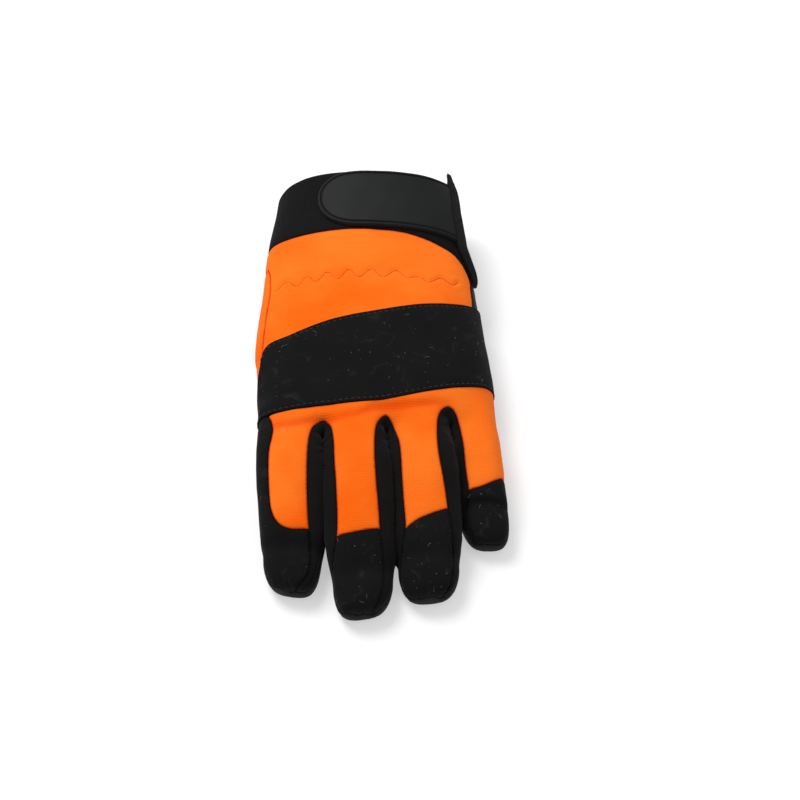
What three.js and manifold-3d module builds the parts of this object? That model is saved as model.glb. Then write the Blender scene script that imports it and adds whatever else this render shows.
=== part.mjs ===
// A left-hand work glove, lying palm down with its thumb folded under the palm.
//
// The glove is first shaped as one hollow form: a hand with four finger tubes and a thumb tube, less
// the same forms set in by the cloth's thickness. That wall is then cut along its seams into the
// panels that the glove is sewn from, and the patch, the closing strap and the bound edge are laid
// over it.
//
// Axes while shaping: X from the index side to the little finger's side, Y from the fingertips to the
// cuff with zero on the line where the fingers part, and Z up from the table. Millimetres.
import * as THREE from 'three';
import { mergeVertices } from 'three/addons/utils/BufferGeometryUtils.js';
import Module from 'manifold-3d';

const wasm = await Module();
wasm.setup();

// Driving sizes
const palmLength = 113;
const cuffLength = 39;
const knuckleWidth = 122;
const handHeight = 47;
const cuffWidth = 104;
const cuffHeight = 53;
const fingerWidth = 32;
const indexLength = 82.5;
const middleLength = 95;
const ringLength = 87;
const littleLength = 66.5;
const thumbWidth = 39;
const thumbLength = 62;
const thumbHeight = 17;
const wall = 2;
const seamGap = 0.3;

// Cloth sizes along the seams
const fingerGap = 0.6;
const fourchetteWidth = 6.2;
const thumbClearance = 1.2;
const tipRounding = 19;
const indexStripCorner = 12.2;
const patchThickness = 1.4;
const strapWidth = 37;
const strapReach = 34;
const strapThickness = 2.6;
const bindingWidth = 5;
const bindingThickness = 4.2;
const bindingLength = 63;
const bindingPastRim = 4;

// Mesh fineness
const handSides = 32;
const fingerSides = 16;
const tipSteps = 3;

const halfSeam = seamGap / 2;
const territoryOverlap = seamGap / 3;
const tablePress = 1;
const rimY = palmLength + cuffLength;

// The hand's sections. Places along Y are shares of the palm's or the cuff's length, left and right
// shares of the knuckles' or the cuff's width, and heights shares of the hand's or the cuff's height.
const handSections = [
  { at: 1.0, left: -0.504, right: 0.385, top: 1.05, leftEdge: 0.52, rightEdge: 0.42 },
  { at: 0.8, left: -0.512, right: 0.407, top: 1.0, leftEdge: 0.54, rightEdge: 0.4 },
  { at: 0.53, left: -0.518, right: 0.44, top: 1.0, leftEdge: 0.56, rightEdge: 0.37 },
  { at: 0.27, left: -0.524, right: 0.468, top: 0.97, leftEdge: 0.58, rightEdge: 0.34 },
  { at: 0.09, left: -0.522, right: 0.482, top: 0.9, leftEdge: 0.58, rightEdge: 0.31 },
  { at: 0.02, left: -0.51, right: 0.486, top: 0.82, leftEdge: 0.56, rightEdge: 0.3 },
  { at: -0.03, left: -0.48, right: 0.47, top: 0.7, leftEdge: 0.54, rightEdge: 0.3 },
];
const cuffSections = [
  { at: 1.0, left: -0.553, right: 0.4, top: 1.0, leftEdge: 0.45, rightEdge: 0.45 },
  { at: 0.5, left: -0.572, right: 0.428, top: 0.965, leftEdge: 0.45, rightEdge: 0.43 },
];

// The fingers. Roots and tips along X are shares of the knuckles' width and the root's place along Y a
// share of the palm's length; width is a share of the finger width, and taper what the tip keeps of
// it; under, top and tipTop are heights, as shares of the hand's height, at the root and at the end;
// cap is where the tip's cap starts on its left and right side, as shares of the finger's length.
const fingers = [
  {
    name: 'index', root: -0.37, tip: -0.349, back: 0, length: indexLength, width: 1.06, taper: 0.92,
    under: 0.4, top: 0.86, tipTop: 0.43, cap: [0.692, 0.69],
  },
  {
    name: 'middle', root: -0.092, tip: -0.071, back: 0, length: middleLength, width: 1.12, taper: 0.885,
    under: 0.32, top: 0.88, tipTop: 0.43, cap: [0.653, 0.605],
  },
  {
    name: 'ring', root: 0.17, tip: 0.192, back: 0, length: ringLength, width: 1.08, taper: 0.92,
    under: 0.19, top: 0.83, tipTop: 0.43, cap: [0.684, 0.516],
  },
  {
    name: 'little', root: 0.383, tip: 0.43, back: 0.09, length: littleLength, width: 0.8, taper: 1.0,
    under: 0, top: 0.7, tipTop: 0.41, cap: [0.74, 0.48],
  },
];

// A finger's sections from inside the palm to the start of its tip, as shares of its length, of its
// width, of the taper reached, of its rise over the tip's height, and of the underside's lift at the
// root.
const fingerSections = [
  { at: -0.25, wide: 0.7, tapered: 0, rise: 0.86, lift: 1.0 },
  { at: -0.06, wide: 0.94, tapered: 0, rise: 0.96, lift: 1.0 },
  { at: 0.1, wide: 1.03, tapered: 0, rise: 0.92, lift: 1.0 },
  { at: 0.26, wide: 1.04, tapered: 0, rise: 0.82, lift: 0.96 },
  { at: 0.48, wide: 1.0, tapered: 0.1, rise: 0.54, lift: 0.5 },
  { at: 0.68, wide: 0.99, tapered: 0.6, rise: 0.28, lift: 0.12 },
];

// How a fingertip closes, as shares of its own sizes: what is left at the end of its width, of its top
// and of its underside, and where its side edges lie between underside and top. A tip's rounding is
// drawn through not quite a quarter turn, in radians, so that its end stays blunt.
const tipShape = { width: 0.32, top: 0.25, bottom: 0.45, middle: 0.4, edge: 0.46 };
const thumbTipShape = { width: 0.3, top: 0.45, bottom: 0.4, turnedUnder: 0.44 };
const tipTurn = 1.508;

// The lines along which neighbouring fingers part, as shares of the knuckles' width and the palm's
// length.
const partings = [
  { name: 'index_middle', from: [-0.238, -0.065], to: [-0.204, -0.95] },
  { name: 'middle_ring', from: [0.021, -0.042], to: [0.074, -0.95] },
  { name: 'ring_little', from: [0.278, 0.017], to: [0.373, -0.95] },
];

// The thumb's sections from its root to the start of its tip: shares of its length past the thumb's
// crotch, of its width, measured from the hand's left edge, and of its height.
const thumbSections = [
  { at: -0.72, left: 0.3, right: 0.62, top: 1.2, bottom: 0.5 },
  { at: -0.6, left: 0.09, right: 0.84, top: 1.38, bottom: 0.05 },
  { at: -0.32, left: 0.0, right: 0.99, top: 1.38, bottom: -0.05 },
  { at: -0.02, left: 0.0, right: 1.0, top: 1.16, bottom: -0.05 },
  { at: 0.26, left: 0.03, right: 0.98, top: 1.0, bottom: -0.05 },
  { at: 0.6, left: 0.08, right: 0.94, top: 0.98, bottom: -0.05 },
  { at: 0.76, left: 0.1, right: 0.91, top: 0.96, bottom: -0.04 },
];
const thumbCrotch = 0.38 * palmLength;
const thumbLeft = -0.526 * knuckleWidth;

// The pocket under the palm that the thumb lies in: shares of the thumb's length past its crotch and
// of its height, and how much wider than the thumb it is.
const pocketSections = [
  { at: 0, top: 1.17 },
  { at: 0.26, top: 1.0 },
  { at: 0.85, top: 1.0 },
  { at: 1.04, top: 0.7 },
];
const pocketWidth = 1.08;

// Solids

// A closed mesh with its faces pointing out, as a solid that can be cut and joined.
function solidOf(geometry) {
  const bare = new THREE.BufferGeometry();
  bare.setAttribute('position', geometry.getAttribute('position').clone());
  bare.setIndex(geometry.getIndex());
  const merged = mergeVertices(bare, 1e-4);
  const index = merged.getIndex().array;
  const triangles = [];
  for (let i = 0; i < index.length; i += 3) {
    const [a, b, c] = [index[i], index[i + 1], index[i + 2]];
    if (a !== b && b !== c && c !== a) triangles.push(a, b, c);
  }
  const mesh = new wasm.Mesh({
    numProp: 3,
    vertProperties: new Float32Array(merged.getAttribute('position').array),
    triVerts: new Uint32Array(triangles),
  });
  return new wasm.Manifold(mesh);
}

// Joins closed rings of equal length, listed from the cuff towards the fingertips, with a fan on each
// end.
function loft(rings) {
  const around = rings[0].length;
  const corners = rings.flat();
  const index = [];
  for (let k = 0; k + 1 < rings.length; k++) {
    for (let i = 0; i < around; i++) {
      const a = k * around + i;
      const b = k * around + ((i + 1) % around);
      index.push(a, b, a + around, b, b + around, a + around);
    }
  }
  const last = (rings.length - 1) * around;
  const middleOf = (ring) => (
    ring.reduce((sum, p) => sum.add(p), new THREE.Vector3()).divideScalar(ring.length)
  );
  const back = corners.push(middleOf(rings[0])) - 1;
  const front = corners.push(middleOf(rings.at(-1))) - 1;
  for (let i = 0; i < around; i++) {
    const j = (i + 1) % around;
    index.push(back, j, i, front, last + i, last + j);
  }
  const geometry = new THREE.BufferGeometry().setFromPoints(corners);
  geometry.setIndex(index);
  return solidOf(geometry);
}

// One cross-section of a soft tube, set in by a distance: a superellipse whose two side edges may
// stand at different heights. Its power is squarer on the side that lies on the table.
const handPower = 2.2;
const tablePower = 3;

function section(row, inset, sides) {
  const { y, left, right, top, bottom, leftEdge, rightEdge } = row;
  const { power = handPower, floorPower = tablePower } = row;
  const middle = (left + right) / 2;
  const half = (right - left) / 2 - inset;
  const ring = [];
  for (let i = 0; i < sides; i++) {
    const angle = (2 * Math.PI * i) / sides;
    const across = Math.cos(angle);
    const up = Math.sin(angle);
    const edge = THREE.MathUtils.lerp(rightEdge, leftEdge, (1 - across) / 2);
    const bend = 2 / (up >= 0 ? power : floorPower);
    const reach = up >= 0 ? top - inset - edge : edge - bottom - inset;
    ring.push(new THREE.Vector3(
      middle + half * Math.sign(across) * Math.abs(across) ** bend,
      y,
      edge + reach * Math.sign(up) * Math.abs(up) ** bend,
    ));
  }
  return ring;
}

// A prism over an outline drawn on the table, between two heights.
function prism(outline, low, high) {
  const depth = high - low;
  const geometry = new THREE.ExtrudeGeometry(outline, { depth, bevelEnabled: false, curveSegments: 5 });
  return solidOf(geometry.translate(0, 0, low));
}

// A prism along X over an outline drawn in Y and Z.
function prismAcross(outline, left, right) {
  const geometry = new THREE.ExtrudeGeometry(outline, { depth: right - left, bevelEnabled: false });
  geometry.applyMatrix4(new THREE.Matrix4().set(0, 0, 1, left, 1, 0, 0, 0, 0, 1, 0, 0, 0, 0, 0, 1));
  return solidOf(geometry);
}

const polygon = (points) => new THREE.Shape(points.map(([x, y]) => new THREE.Vector2(x, y)));
const rectangle = (left, right, near, far) => (
  polygon([[left, near], [right, near], [right, far], [left, far]])
);
const clearOfAll = 400;
const underTable = -30;
const overhead = 120;

// The hand, its fingers and its thumb

function handRows() {
  const cuff = cuffSections.map((row) => ({
    y: palmLength + row.at * cuffLength,
    left: row.left * cuffWidth,
    right: row.right * cuffWidth,
    top: row.top * cuffHeight,
    leftEdge: row.leftEdge * cuffHeight,
    rightEdge: row.rightEdge * cuffHeight,
    bottom: -tablePress,
  }));
  const palm = handSections.map((row) => ({
    y: row.at * palmLength,
    left: row.left * knuckleWidth,
    right: row.right * knuckleWidth,
    top: row.top * handHeight,
    leftEdge: row.leftEdge * handHeight,
    rightEdge: row.rightEdge * handHeight,
    bottom: -tablePress,
  }));
  return [...cuff, ...palm];
}

// A tube through rows of sections, set in by a distance, its two ends as well.
function tube(rows, inset, sides) {
  const endShift = (k) => (k === 0 ? -inset : k === rows.length - 1 ? inset : 0);
  return loft(rows.map((row, k) => section({ ...row, y: row.y + endShift(k) }, inset, sides)));
}

function hand(inset, pastRim = 0) {
  const rows = handRows();
  const opening = pastRim > 0 ? [{ ...rows[0], y: rimY + pastRim }] : [];
  return tube([...opening, ...rows], inset, handSides);
}

// How full a tip still is at one of its steps, and how far along its rounding that step lies.
function tipRound(k) {
  const reached = Math.sin((k / tipSteps) * tipTurn);
  return { full: (1 - reached * reached) ** 0.4, advance: reached ** 0.9 };
}

const fingerPower = 2.7;
const lastWide = fingerSections.at(-1).wide;

function fingerRows(finger) {
  const root = finger.back * palmLength;
  const width = finger.width * fingerWidth;
  const middleAt = (share) => THREE.MathUtils.lerp(finger.root, finger.tip, share) * knuckleWidth;
  const row = (share, wide, top, bottom) => ({
    y: root - share * finger.length,
    left: middleAt(share) - (wide * width) / 2,
    right: middleAt(share) + (wide * width) / 2,
    top,
    bottom,
    leftEdge: THREE.MathUtils.lerp(bottom, top, tipShape.edge),
    rightEdge: THREE.MathUtils.lerp(bottom, top, tipShape.edge),
    power: fingerPower,
  });
  const rows = fingerSections.map(({ at, wide, tapered, rise, lift }) => row(
    at,
    wide * THREE.MathUtils.lerp(1, finger.taper, tapered),
    THREE.MathUtils.lerp(finger.tipTop, finger.top, rise) * handHeight,
    finger.under * lift * handHeight - tablePress,
  ));
  const tipTop = finger.tipTop * handHeight;
  const tipMiddle = tipTop * tipShape.middle;
  for (let k = 0; k <= tipSteps; k++) {
    const { full, advance } = tipRound(k);
    rows.push(row(
      1 - (tipRounding * (1 - advance)) / finger.length,
      finger.taper * THREE.MathUtils.lerp(tipShape.width, 1, full) * lastWide,
      THREE.MathUtils.lerp(tipMiddle, tipTop, THREE.MathUtils.lerp(tipShape.top, 1, full)),
      THREE.MathUtils.lerp(tipMiddle, -tablePress, THREE.MathUtils.lerp(tipShape.bottom, 1, full)),
    ));
  }
  return rows;
}

// The strip of table that a finger has between its two partings.
function territory(k) {
  const side = (line, shift, far) => {
    if (!line) return [[far, -clearOfAll], [far, clearOfAll]];
    const [from, to] = [line.from, line.to].map(([x, y]) => [x * knuckleWidth, y * palmLength]);
    const slope = (to[0] - from[0]) / (to[1] - from[1]);
    return [-clearOfAll, clearOfAll].map((y) => [from[0] + slope * (y - from[1]) + shift, y]);
  };
  const [leftNear, leftFar] = side(partings[k - 1], -territoryOverlap, -clearOfAll);
  const [rightNear, rightFar] = side(partings[k], territoryOverlap, clearOfAll);
  return prism(polygon([leftNear, rightNear, rightFar, leftFar]), underTable, overhead);
}

const fingerTube = (k, inset) => tube(fingerRows(fingers[k]), inset, fingerSides).intersect(territory(k));

function thumbRows() {
  const row = (share, left, right, top, bottom) => ({
    y: thumbCrotch - share * thumbLength,
    left: thumbLeft + left * thumbWidth,
    right: thumbLeft + right * thumbWidth,
    top: top * thumbHeight,
    bottom: bottom * thumbHeight,
    leftEdge: (top + bottom) * 0.5 * thumbHeight,
    rightEdge: (top + bottom) * 0.45 * thumbHeight,
    power: 2.3,
    floorPower: 2.6,
  });
  const rows = thumbSections.map(({ at, left, right, top, bottom }) => row(at, left, right, top, bottom));
  const { left, right, top } = thumbSections.at(-1);
  const middle = (left + right) / 2;
  for (let k = 1; k <= tipSteps; k++) {
    const { full, advance } = tipRound(k);
    const half = ((right - left) / 2) * THREE.MathUtils.lerp(thumbTipShape.width, 1, full);
    rows.push(row(
      1 - (tipRounding * (1 - advance)) / thumbLength,
      middle - half,
      middle + half,
      THREE.MathUtils.lerp(thumbTipShape.top, top, full),
      thumbTipShape.bottom - thumbTipShape.turnedUnder * full,
    ));
  }
  return rows;
}

const thumbTube = (inset) => tube(thumbRows(), inset, fingerSides);

// The space under the palm that the folded thumb lies in, grown by a distance.
const pocketPower = 6;

function thumbPocket(grow) {
  const rows = pocketSections.map(({ at, top }) => ({
    y: thumbCrotch - at * thumbLength,
    left: thumbLeft - 2 * thumbWidth,
    right: thumbLeft + pocketWidth * thumbWidth,
    top: top * thumbHeight + thumbClearance,
    bottom: underTable,
    leftEdge: 0,
    rightEdge: 0,
    power: pocketPower,
  }));
  return tube(rows, -grow, handSides);
}

// An outline of constant width along the line where two fingers part, with a round end at the crotch.
function partingOutline({ from, to }, half) {
  const start = new THREE.Vector2(from[0] * knuckleWidth, from[1] * palmLength);
  const end = new THREE.Vector2(to[0] * knuckleWidth, to[1] * palmLength);
  const along = end.clone().sub(start).normalize();
  const turn = Math.atan2(along.y, along.x);
  const side = new THREE.Vector2(-along.y, along.x).multiplyScalar(half);
  const shape = new THREE.Shape();
  shape.moveTo(end.x - side.x, end.y - side.y);
  shape.lineTo(end.x + side.x, end.y + side.y);
  shape.lineTo(start.x + side.x, start.y + side.y);
  shape.absarc(start.x, start.y, half, turn + Math.PI / 2, turn + (3 * Math.PI) / 2, false);
  return shape;
}
const parting = (line, half) => prism(partingOutline(line, half), underTable, overhead);

// The hand and its fingers, as one closed form without the slots between the fingers.
function handWithFingers(inset) {
  let shape = hand(inset, inset > 0 ? cuffLength : 0);
  for (const k of fingers.keys()) shape = shape.add(fingerTube(k, inset));
  return shape;
}

// The whole glove's form, set in by a distance.
function form(inset) {
  let shape = handWithFingers(inset).subtract(thumbPocket(inset));
  for (const line of partings) shape = shape.subtract(parting(line, fingerGap / 2 + inset));
  const table = prism(rectangle(-clearOfAll, clearOfAll, -clearOfAll, clearOfAll), 2 * underTable, inset);
  return shape.add(thumbTube(inset)).subtract(table);
}

// Seams

// The wrist seam, the knuckle patch's two edges and the side seams, seen from above: shares of the
// knuckles' width and of the palm's length.
const wristSeam = [
  [-0.7, 1.06], [-0.5, 1.045], [-0.41, 1.02], [-0.2, 1.008], [0.05, 1.0], [0.21, 0.978], [0.32, 0.972],
  [0.365, 0.945], [0.4, 0.885], [0.43, 0.82], [0.7, 0.78],
];
const patchBack = [
  [-0.503, 0.4], [-0.45, 0.392], [-0.33, 0.442], [-0.03, 0.53], [0.29, 0.613], [0.42, 0.69],
];
const patchFront = [
  [-0.503, 0.034], [-0.455, 0.012], [-0.3, 0.025], [0.01, 0.074], [0.325, 0.168], [0.52, 0.25],
];
const gussetSeam = [[-0.505, 0.1], [-0.505, 0.42], [-0.476, 0.83]];
const thumbSeam = -0.38;
const fingerSeam = -0.06;
const indexSide = { seam: -0.455, end: 0.05 };

// The seam between back and palm, seen from the side: shares of the palm's length and of the hand's
// height. On the little finger's side it lies lower.
const sideSeam = [
  [2, 0.5], [0.86, 0.5], [0.8, 0.62], [0.1, 0.62], [0, 0.54], [-0.177, 0.447], [-0.354, 0.32],
  [-0.53, 0.255], [-0.885, 0.17], [-2, 0.17],
];
const lowSide = [[0.37, -2], [0.37, 0.12], [0.26, 0.3], [0.22, 2]];
const lowSideHeight = 0.2;

const onPalm = ([x, y]) => [x * knuckleWidth, y * palmLength];

// All that lies behind a line drawn from left to right across the glove, grown by a distance.
const behind = (line, grow) => prism(polygon([
  ...line.map(onPalm).map(([x, y]) => [x, y - grow]), [clearOfAll, clearOfAll], [-clearOfAll, clearOfAll],
]), underTable, overhead);

function aboveSideSeam(grow) {
  const profile = sideSeam.map(([y, z]) => [y * palmLength, z * handHeight - grow]);
  const above = polygon([...profile, [-clearOfAll, overhead], [clearOfAll, overhead]]);
  const all = prismAcross(above, -clearOfAll, clearOfAll);
  const low = lowSide.map(onPalm).map(([x, y]) => [x - grow, y]);
  const outline = polygon([...low, [clearOfAll, low.at(-1)[1]], [clearOfAll, low[0][1]]]);
  return all.add(prism(outline, lowSideHeight * handHeight - grow, overhead));
}

// The cap of a fingertip, as seen from above.
function capRegion(k, grow) {
  const { root, back, length, cap } = fingers[k];
  const half = fingerWidth / 2;
  const middle = root * knuckleWidth;
  const [left, right] = cap.map((share) => back * palmLength - share * length + grow);
  const outline = polygon([
    [middle - 3 * half, left - (right - left)], [middle + 3 * half, right + (right - left)],
    [middle + 3 * half, -clearOfAll], [middle - 3 * half, -clearOfAll],
  ]);
  return prism(outline, underTable, overhead).intersect(territory(k));
}

// A finger's leather on the palm side, from the seam across its root to its end.
function fingerFrontRegion(k, grow) {
  const outline = rectangle(-clearOfAll, clearOfAll, -clearOfAll, fingerSeam * palmLength + grow);
  return prism(outline, underTable, overhead).intersect(territory(k));
}

// The black strip up the index finger's outer side, in one piece with that finger's cap.
function indexSideRegion(grow) {
  const x = indexSide.seam * knuckleWidth + grow;
  const end = indexSide.end * palmLength + grow;
  const cap = fingers[0].cap[0] * fingers[0].length;
  const shape = new THREE.Shape();
  shape.moveTo(-clearOfAll, end);
  shape.lineTo(-clearOfAll, -clearOfAll);
  shape.lineTo(x + indexStripCorner, -clearOfAll);
  shape.lineTo(x + indexStripCorner, grow - cap);
  shape.quadraticCurveTo(x, grow - cap, x, grow + indexStripCorner - cap);
  shape.lineTo(x, end);
  return prism(shape, underTable, overhead);
}

// The gusset along the index side of the hand, which runs on into the outer half of the thumb.
function gussetRegion(grow) {
  const seam = gussetSeam.map(onPalm).map(([x, y]) => [x + grow, y]);
  seam[0][1] -= grow;
  seam.at(-1)[1] += grow;
  const corners = [...seam, [-clearOfAll, seam.at(-1)[1]], [-clearOfAll, seam[0][1]]];
  const side = prism(polygon(corners), underTable, overhead);
  const outerHalf = rectangle(-clearOfAll, thumbSeam * knuckleWidth + grow, -clearOfAll, clearOfAll);
  return side.add(thumbRegion(grow).intersect(prism(outerHalf, underTable, overhead)));
}
const thumbRegion = (grow) => thumbPocket(grow - thumbClearance / 2);

// Panels, each cut out of what is left of the wall with half a seam's gap on either side of the cut

let rest = form(0).subtract(form(wall));
function panel(region) {
  const cut = rest.intersect(region(-halfSeam));
  rest = rest.subtract(region(halfSeam));
  return cut;
}

const cuff = panel((grow) => behind(wristSeam, grow));
const thumbBack = panel(gussetRegion);
const thumbFront = panel(thumbRegion);
const caps = fingers.map((finger, k) => panel((grow) => {
  const cap = k === 0 ? capRegion(k, grow).add(indexSideRegion(grow)) : capRegion(k, grow);
  return cap.intersect(aboveSideSeam(grow));
}));
const fourchettes = partings.map((line) => panel((grow) => (
  parting(line, fourchetteWidth + grow).intersect(aboveSideSeam(grow))
)));
const backPanel = panel(aboveSideSeam);
const fingerFronts = fingers.map((finger, k) => panel((grow) => fingerFrontRegion(k, grow)));
const palmPanel = rest;

// Pieces laid over the panels

const overlay = (near, far) => handWithFingers(-far).subtract(handWithFingers(-near));

function patchOutline() {
  const shape = new THREE.Shape();
  const back = patchBack.map(onPalm).map(([x, y]) => new THREE.Vector2(x, y));
  const front = patchFront.map(onPalm).map(([x, y]) => new THREE.Vector2(x, y));
  shape.moveTo(front[0].x, front[0].y);
  shape.splineThru(front.slice(1));
  shape.lineTo(back.at(-1).x, back.at(-1).y);
  shape.splineThru(back.slice(0, -1).reverse());
  return shape;
}
const knuckleBand = overlay(seamGap, seamGap + patchThickness)
  .intersect(prism(patchOutline(), underTable, overhead))
  .intersect(aboveSideSeam(0));

const onCuff = (near, far) => hand(-far, cuffLength).subtract(hand(-near, cuffLength));

// The bound edge runs from past the rim down the little finger's side: places across as shares of the
// cuff's width, and places along as shares of the edge's own length.
const bindingLine = [
  [0.345, 0], [0.366, 0.175], [0.387, 0.46], [0.405, 0.67], [0.437, 0.79], [0.467, 0.89], [0.477, 1],
];
const bindingPoints = bindingLine.map(([across, along]) => (
  new THREE.Vector2(across * cuffWidth, rimY + bindingPastRim - along * bindingLength)
));
const sideHeight = 0.38 * cuffHeight;

function bindingX(y) {
  const after = Math.max(1, bindingPoints.findIndex((point) => point.y <= y));
  const [from, to] = [bindingPoints[after - 1], bindingPoints[after]];
  return THREE.MathUtils.mapLinear(y, from.y, to.y, from.x, to.x);
}

function bindingRegion(grow) {
  const half = bindingWidth / 2 + grow;
  const end = bindingPoints.at(-1);
  const roundEnd = new THREE.EllipseCurve(end.x, end.y, half, half, Math.PI, 2 * Math.PI)
    .getPoints(tipSteps * 3);
  const outline = polygon([
    ...bindingPoints.map(({ x, y }) => [x - half, y]),
    ...roundEnd.slice(1, -1).map(({ x, y }) => [x, y]),
    ...bindingPoints.toReversed().map(({ x, y }) => [x + half, y]),
  ]);
  return prism(outline, sideHeight - grow, overhead);
}
const strapBinding = onCuff(seamGap, seamGap + bindingThickness).intersect(bindingRegion(0));

// The closing strap's tab. Its free end is round, with a tighter corner at the rim than at the palm.
const rimCorner = 0.4 * strapWidth;
const palmCorner = 0.5 * strapWidth;

function strapOutline() {
  const near = palmLength + (cuffLength - strapWidth) / 2;
  const far = near + strapWidth;
  const shape = new THREE.Shape();
  shape.moveTo(bindingX(near), near);
  const underBinding = bindingPoints.filter(({ y }) => y > near && y < far).toReversed();
  underBinding.forEach(({ x, y }) => shape.lineTo(x, y));
  shape.lineTo(bindingX(far), far);
  shape.lineTo(rimCorner - strapReach, far);
  shape.absarc(rimCorner - strapReach, far - rimCorner, rimCorner, Math.PI / 2, Math.PI, false);
  shape.lineTo(-strapReach, near + palmCorner);
  shape.absarc(palmCorner - strapReach, near + palmCorner, palmCorner, Math.PI, 1.5 * Math.PI, false);
  return shape;
}
const wristStrap = onCuff(seamGap, seamGap + strapThickness)
  .intersect(prism(strapOutline(), sideHeight, overhead))
  .subtract(bindingRegion(seamGap));

// Mesh out

function meshOf(name, solid, material) {
  const { vertProperties, triVerts } = solid.getMesh();
  const geometry = new THREE.BufferGeometry();
  geometry.setAttribute('position', new THREE.BufferAttribute(vertProperties, 3));
  geometry.setIndex(new THREE.BufferAttribute(triVerts, 1));
  const mesh = new THREE.Mesh(geometry, material);
  mesh.name = name;
  return mesh;
}

const cloth = (color, roughness) => new THREE.MeshStandardMaterial({ color, roughness, metalness: 0 });
const orangeFabric = cloth(0xff7814, 0.8);
const blackSuede = cloth(0x1b1b1c, 0.95);
const blackLeather = cloth(0x161617, 0.75);
const blackKnit = cloth(0x1a1a1a, 0.9);
const rubber = cloth(0x262728, 0.6);

const assembled = new THREE.Group();
assembled.add(
  meshOf('back_panel', backPanel, orangeFabric),
  meshOf('knuckle_band', knuckleBand, blackSuede),
  ...fingers.map(({ name }, k) => meshOf(`${name}_tip`, caps[k], blackSuede)),
  ...partings.map(({ name }, k) => meshOf(`fourchette_${name}`, fourchettes[k], blackKnit)),
  meshOf('palm_panel', palmPanel, blackLeather),
  ...fingers.map(({ name }, k) => meshOf(`${name}_front`, fingerFronts[k], blackLeather)),
  meshOf('thumb_back', thumbBack, orangeFabric),
  meshOf('thumb_front', thumbFront, blackLeather),
  meshOf('cuff', cuff, blackKnit),
  meshOf('wrist_strap', wristStrap, rubber),
  meshOf('strap_binding', strapBinding, blackKnit),
);

// The origin is on the table, under the middle of the glove.
const box = new THREE.Box3().setFromObject(assembled);
const middle = box.getCenter(new THREE.Vector3());
assembled.position.set(-middle.x, -middle.y, -box.min.z);
const glove = new THREE.Group();
glove.add(assembled);
export default glove;
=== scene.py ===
import math

import bmesh
import bpy
import numpy as np
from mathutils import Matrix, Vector, noise
from mathutils.bvhtree import BVHTree
from mathutils.kdtree import KDTree


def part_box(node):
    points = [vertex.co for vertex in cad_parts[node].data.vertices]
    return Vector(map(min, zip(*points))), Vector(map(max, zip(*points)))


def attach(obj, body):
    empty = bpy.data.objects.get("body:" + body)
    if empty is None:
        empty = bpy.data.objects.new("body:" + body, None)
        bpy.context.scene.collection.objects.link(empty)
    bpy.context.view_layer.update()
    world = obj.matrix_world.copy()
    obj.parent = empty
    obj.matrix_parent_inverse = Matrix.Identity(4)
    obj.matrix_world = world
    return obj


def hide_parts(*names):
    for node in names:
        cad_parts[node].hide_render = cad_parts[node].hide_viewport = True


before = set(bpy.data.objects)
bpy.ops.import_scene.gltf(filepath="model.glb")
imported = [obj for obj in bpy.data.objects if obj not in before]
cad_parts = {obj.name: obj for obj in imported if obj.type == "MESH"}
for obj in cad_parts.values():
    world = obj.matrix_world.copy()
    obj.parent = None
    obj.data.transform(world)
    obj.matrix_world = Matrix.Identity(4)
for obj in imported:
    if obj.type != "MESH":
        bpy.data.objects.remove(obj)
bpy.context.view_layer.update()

# The skin: the soft form that the glove's panels are cut from, so that they meet at their seams as sewn
# cloth does. The glove keeps the shape of a stuffed hand that lies palm down. Sizes are in millimetres
# from the line where the fingers part, and the table presses the underside flat.
# RIM is where the cuff ends, FIBRE how fine the skin is, PRESSED how far the underside is flattened.
RIM = 152.0
FIBRE = 0.9
PRESSED = 1.0
crotch_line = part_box("cuff")[1].y * 1000.0 - RIM


def to_frame(points):
    return (np.asarray(points, float) + (0.0, crotch_line, 0.0)) / 1000.0


def from_frame(points):
    return np.asarray(points) * 1000 - (0, crotch_line, 0)


# Each row: place along Y, left, right, top, height of the left edge and of the right edge.
HAND = [
    (165, -56.0, 40.6, 51.9, 23.9, 23.9),
    (152, -57.0, 41.6, 51.7, 23.9, 23.9),
    (132.5, -59.5, 44.5, 50.4, 23.9, 22.8),
    (113, -61.5, 47.0, 49.2, 24.4, 19.7),
    (90.4, -63.0, 49.4, 47.0, 25.4, 18.8),
    (59.9, -64.9, 53.4, 47.0, 26.3, 17.4),
    (45.0, -65.5, 55.2, 46.5, 26.8, 16.7),
    (30.5, -64.6, 56.8, 45.6, 27.3, 16.0),
    (10.2, -61.2, 58.2, 42.3, 27.3, 14.6),
    (2.3, -60.8, 58.4, 38.5, 26.3, 14.1),
    (-3.4, -58.2, 56.6, 32.9, 25.4, 14.1),
]

# Each finger: middle at the root and at the tip, root's place, length, width, what the tip keeps of it,
# underside at the root, top at the root and at the tip, and how far the tip's end leans to one side.
FINGERS = {
    "index": (-45.1, -43.3, 0.0, 83.2, 33.9, 0.848, 18.8, 40.4, 20.2, -0.16),
    "middle": (-11.2, -8.2, 0.0, 95.6, 35.8, 0.822, 15.0, 41.4, 20.2, 0.16),
    "ring": (20.7, 24.3, 0.0, 87, 34.6, 0.866, 8.9, 39.0, 20.2, 0.12),
    "little": (45.1, 53.6, 10.2, 67.4, 25.0, 1.0, 0.0, 32.9, 19.3, 0.0),
}
# Along a finger: place, width, taper reached, rise of the top from the tip to the root, underside's lift.
FINGER_SHAPE = [
    (-0.25, 0.70, 0.0, 0.86, 1.0),
    (-0.06, 0.94, 0.0, 0.96, 1.0),
    (0.1, 1.03, 0.0, 0.92, 1.0),
    (0.26, 1.04, 0.0, 0.82, 0.96),
    (0.48, 1.0, 0.15, 0.54, 0.5),
    (0.68, 0.99, 0.5, 0.28, 0.12),
]
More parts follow.
